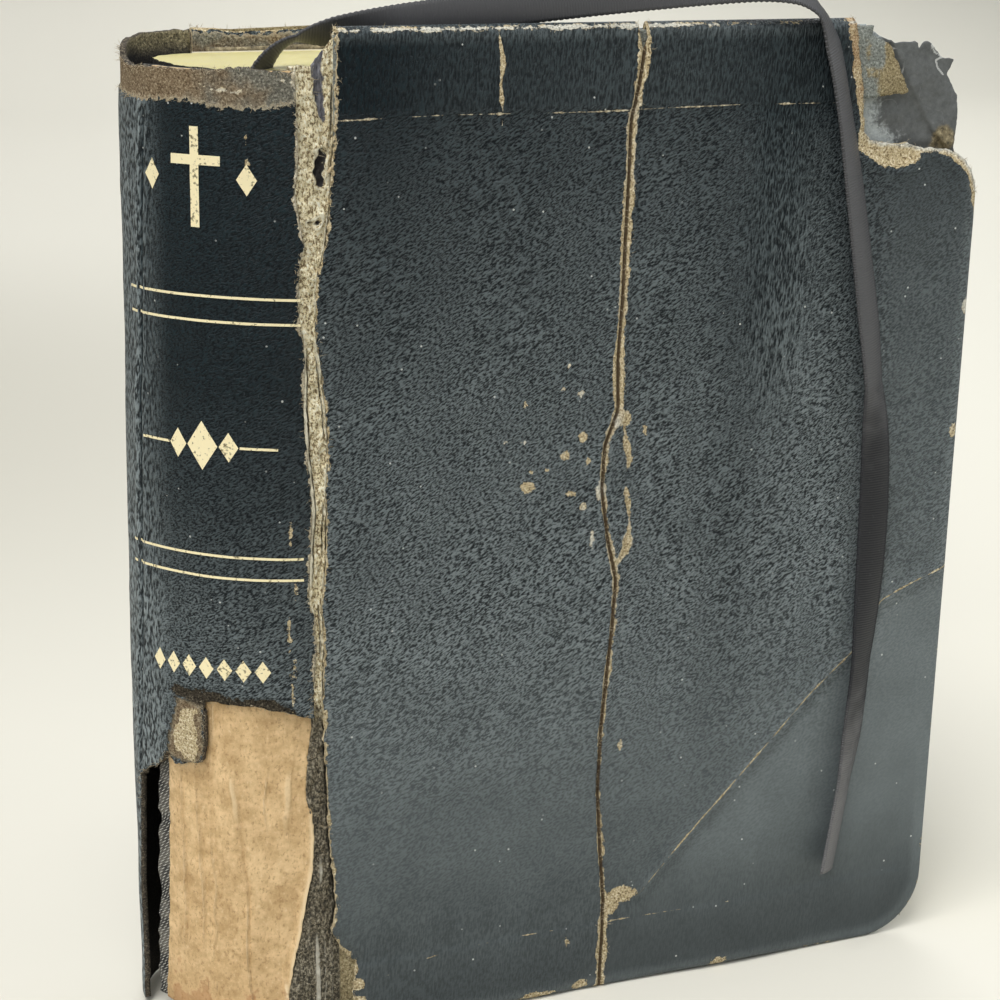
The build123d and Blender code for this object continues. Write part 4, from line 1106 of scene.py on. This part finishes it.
keep &= (z[1:, 1:] < HEAD - LINING_MARGIN) | (u[:-1, :-1] > 90)
fold_near, fold_far = nearest(u, z, LINING_FOLD)
flap = np.where((u - fold_near[..., 0]) + (z - fold_near[..., 1]) > 0, 1.0, -1.0) * fold_far
in_corner = rise(u, 90, 93) * rise(z, 146, 149)
tip = rise(u * 0.45 + z * 0.89, 193.0, 199.0) * rise(u, 100, 106)
out = in_corner * (0.45 * rise(flap, -0.15, 0.25) + 0.35 * lumps(u, z, 7, 64)
                   + 0.16 * lumps(u, z, 2.2, 65) + 0.05 * lumps(u, z, 0.7, 69))
out += tip * (1.6 + 0.9 * lumps(u, z, 2.4, 66))
scuff = in_corner * (0.75 * rise(u, 101, 94) * rise(flap, 0.5, -2)
                     + 0.6 * rise(z, 153, 149.5) * rise(u, 106, 98))
crease = in_corner * (0.42 * ridge(flap, 0.25) + 0.5 * ridge(lumps(u, z, 4.5, 67), 0.05))
crease += 1.1 * ridge(nearest(u, z, LINING_CRUMPLE)[1], 0.20)
brown = np.clip(spots(u, z, LINING_SUEDE) * 2 + lumps(u, z, 1.3, 68), 0, 1)
front_lining = put_sheet("front_lining_paper", row(u, LINING_FACE - out, z), keep, [lining_paper],
                         {"scuff": scuff, "crease": crease, "brown": brown})
thicken(front_lining, LINING_THICK)
settle(front_lining, "front_lining", "front_cover")

# Back cover.
# Made as the front one: leather folded over a board, with a dark paper lining. Its head is rubbed down beside
# the spine, where the turned-in leather has gone to brown suede.
BACK_HINGE, BACK_FACE, BACK_LINING_FACE, BACK_LINING_THICK = -11.548, 36.5, 33.82, 0.18
BACK_HEAD_DROP = [(0, 2.9), (7, 3.2), (21, 2.8), (45, 3.6), (75, 4.4), (118, 4.2)]    # along, and down
b, a = grid([(-7, 0.55), (2, 1.0), (158, 0.5), (177, None)], [(0.3, 1.0), (104, 0.6), (123, None)])
u, z, depth, past = folded(a, b)
drop = np.interp(a, *np.transpose(BACK_HEAD_DROP)) + 0.25 * lumps(a, 0, 4, 71)
rubbed = rise(a, 66, 50) * (b > HEAD / 2)
bare = np.maximum(0.9 + 0.5 * lumps(a, b, 2.0, 72) - np.abs(past - 2.0) - 9 * (1 - rubbed),
                  0.55 * lumps(a, b, 3.0, 73) - 0.35 - 0.8 * np.abs(past - 0.9))
out = 0.35 * lumps(a, b, 34, 74) + 0.10 * lumps(a, b, 9, 75)
points = row(BACK_HINGE + u, BACK_FACE - depth + (out - 0.35) * np.clip(1 - past / COVER_FOLD, 0, 1),
             z - drop * rise(b, 150, 168))
fields = skin_fields(a.shape, bare=bare, brown=np.where(rubbed > 0.5, past - 3.2, -9.0),
                     chafe=0.35 * rise(past, -2.5, 0) + 0.08 * (1 + lumps(a, b, 20, 76)),
                     drawn=0.5 * rise(a, 60, 90))
back_leather = put_sheet("back_leather_skin", points, all_cells(a), [leather_black, torn_edge], fields,
                         flip=True)
thicken(back_leather, SKIN, rim=1, rim_only=True)
settle(back_leather, "back_leather", "back_cover")
frayed = (rubbed > 0.5) & (np.abs(past - 2.0) < 1.6)
fibre_places = worn_places(points, all_cells(a), frayed, 260, 79, flip=True)
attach(loose_fibres("back_loose_fibres", *fibre_places, 0.9, 80), "back_cover")
refinish("back_board", cover_board)
z, u = grid([(LINING_MARGIN, 4), (150, 0.6), (166.6, None)], [(2.5, 3), (COVER_WIDE - LINING_MARGIN, None)])
drop = np.interp(u, *np.transpose(BACK_HEAD_DROP)) * rise(z, 150, 166)
points = row(BACK_HINGE + u, BACK_LINING_FACE + 0.05 * lumps(u, z, 6, 77), z - 0.8 * drop)
back_lining = put_sheet("back_lining_paper", points, all_cells(u), [lining_paper],
                        {"scuff": 0.25 * rise(lumps(u, z, 25, 78), 0.2, 0.9), "crease": np.zeros(u.shape),
                         "brown": rise(z, 160, 163) * rise(u, 70, 50)})
thicken(back_lining, BACK_LINING_THICK)
settle(back_lining, "back_lining", "back_cover")
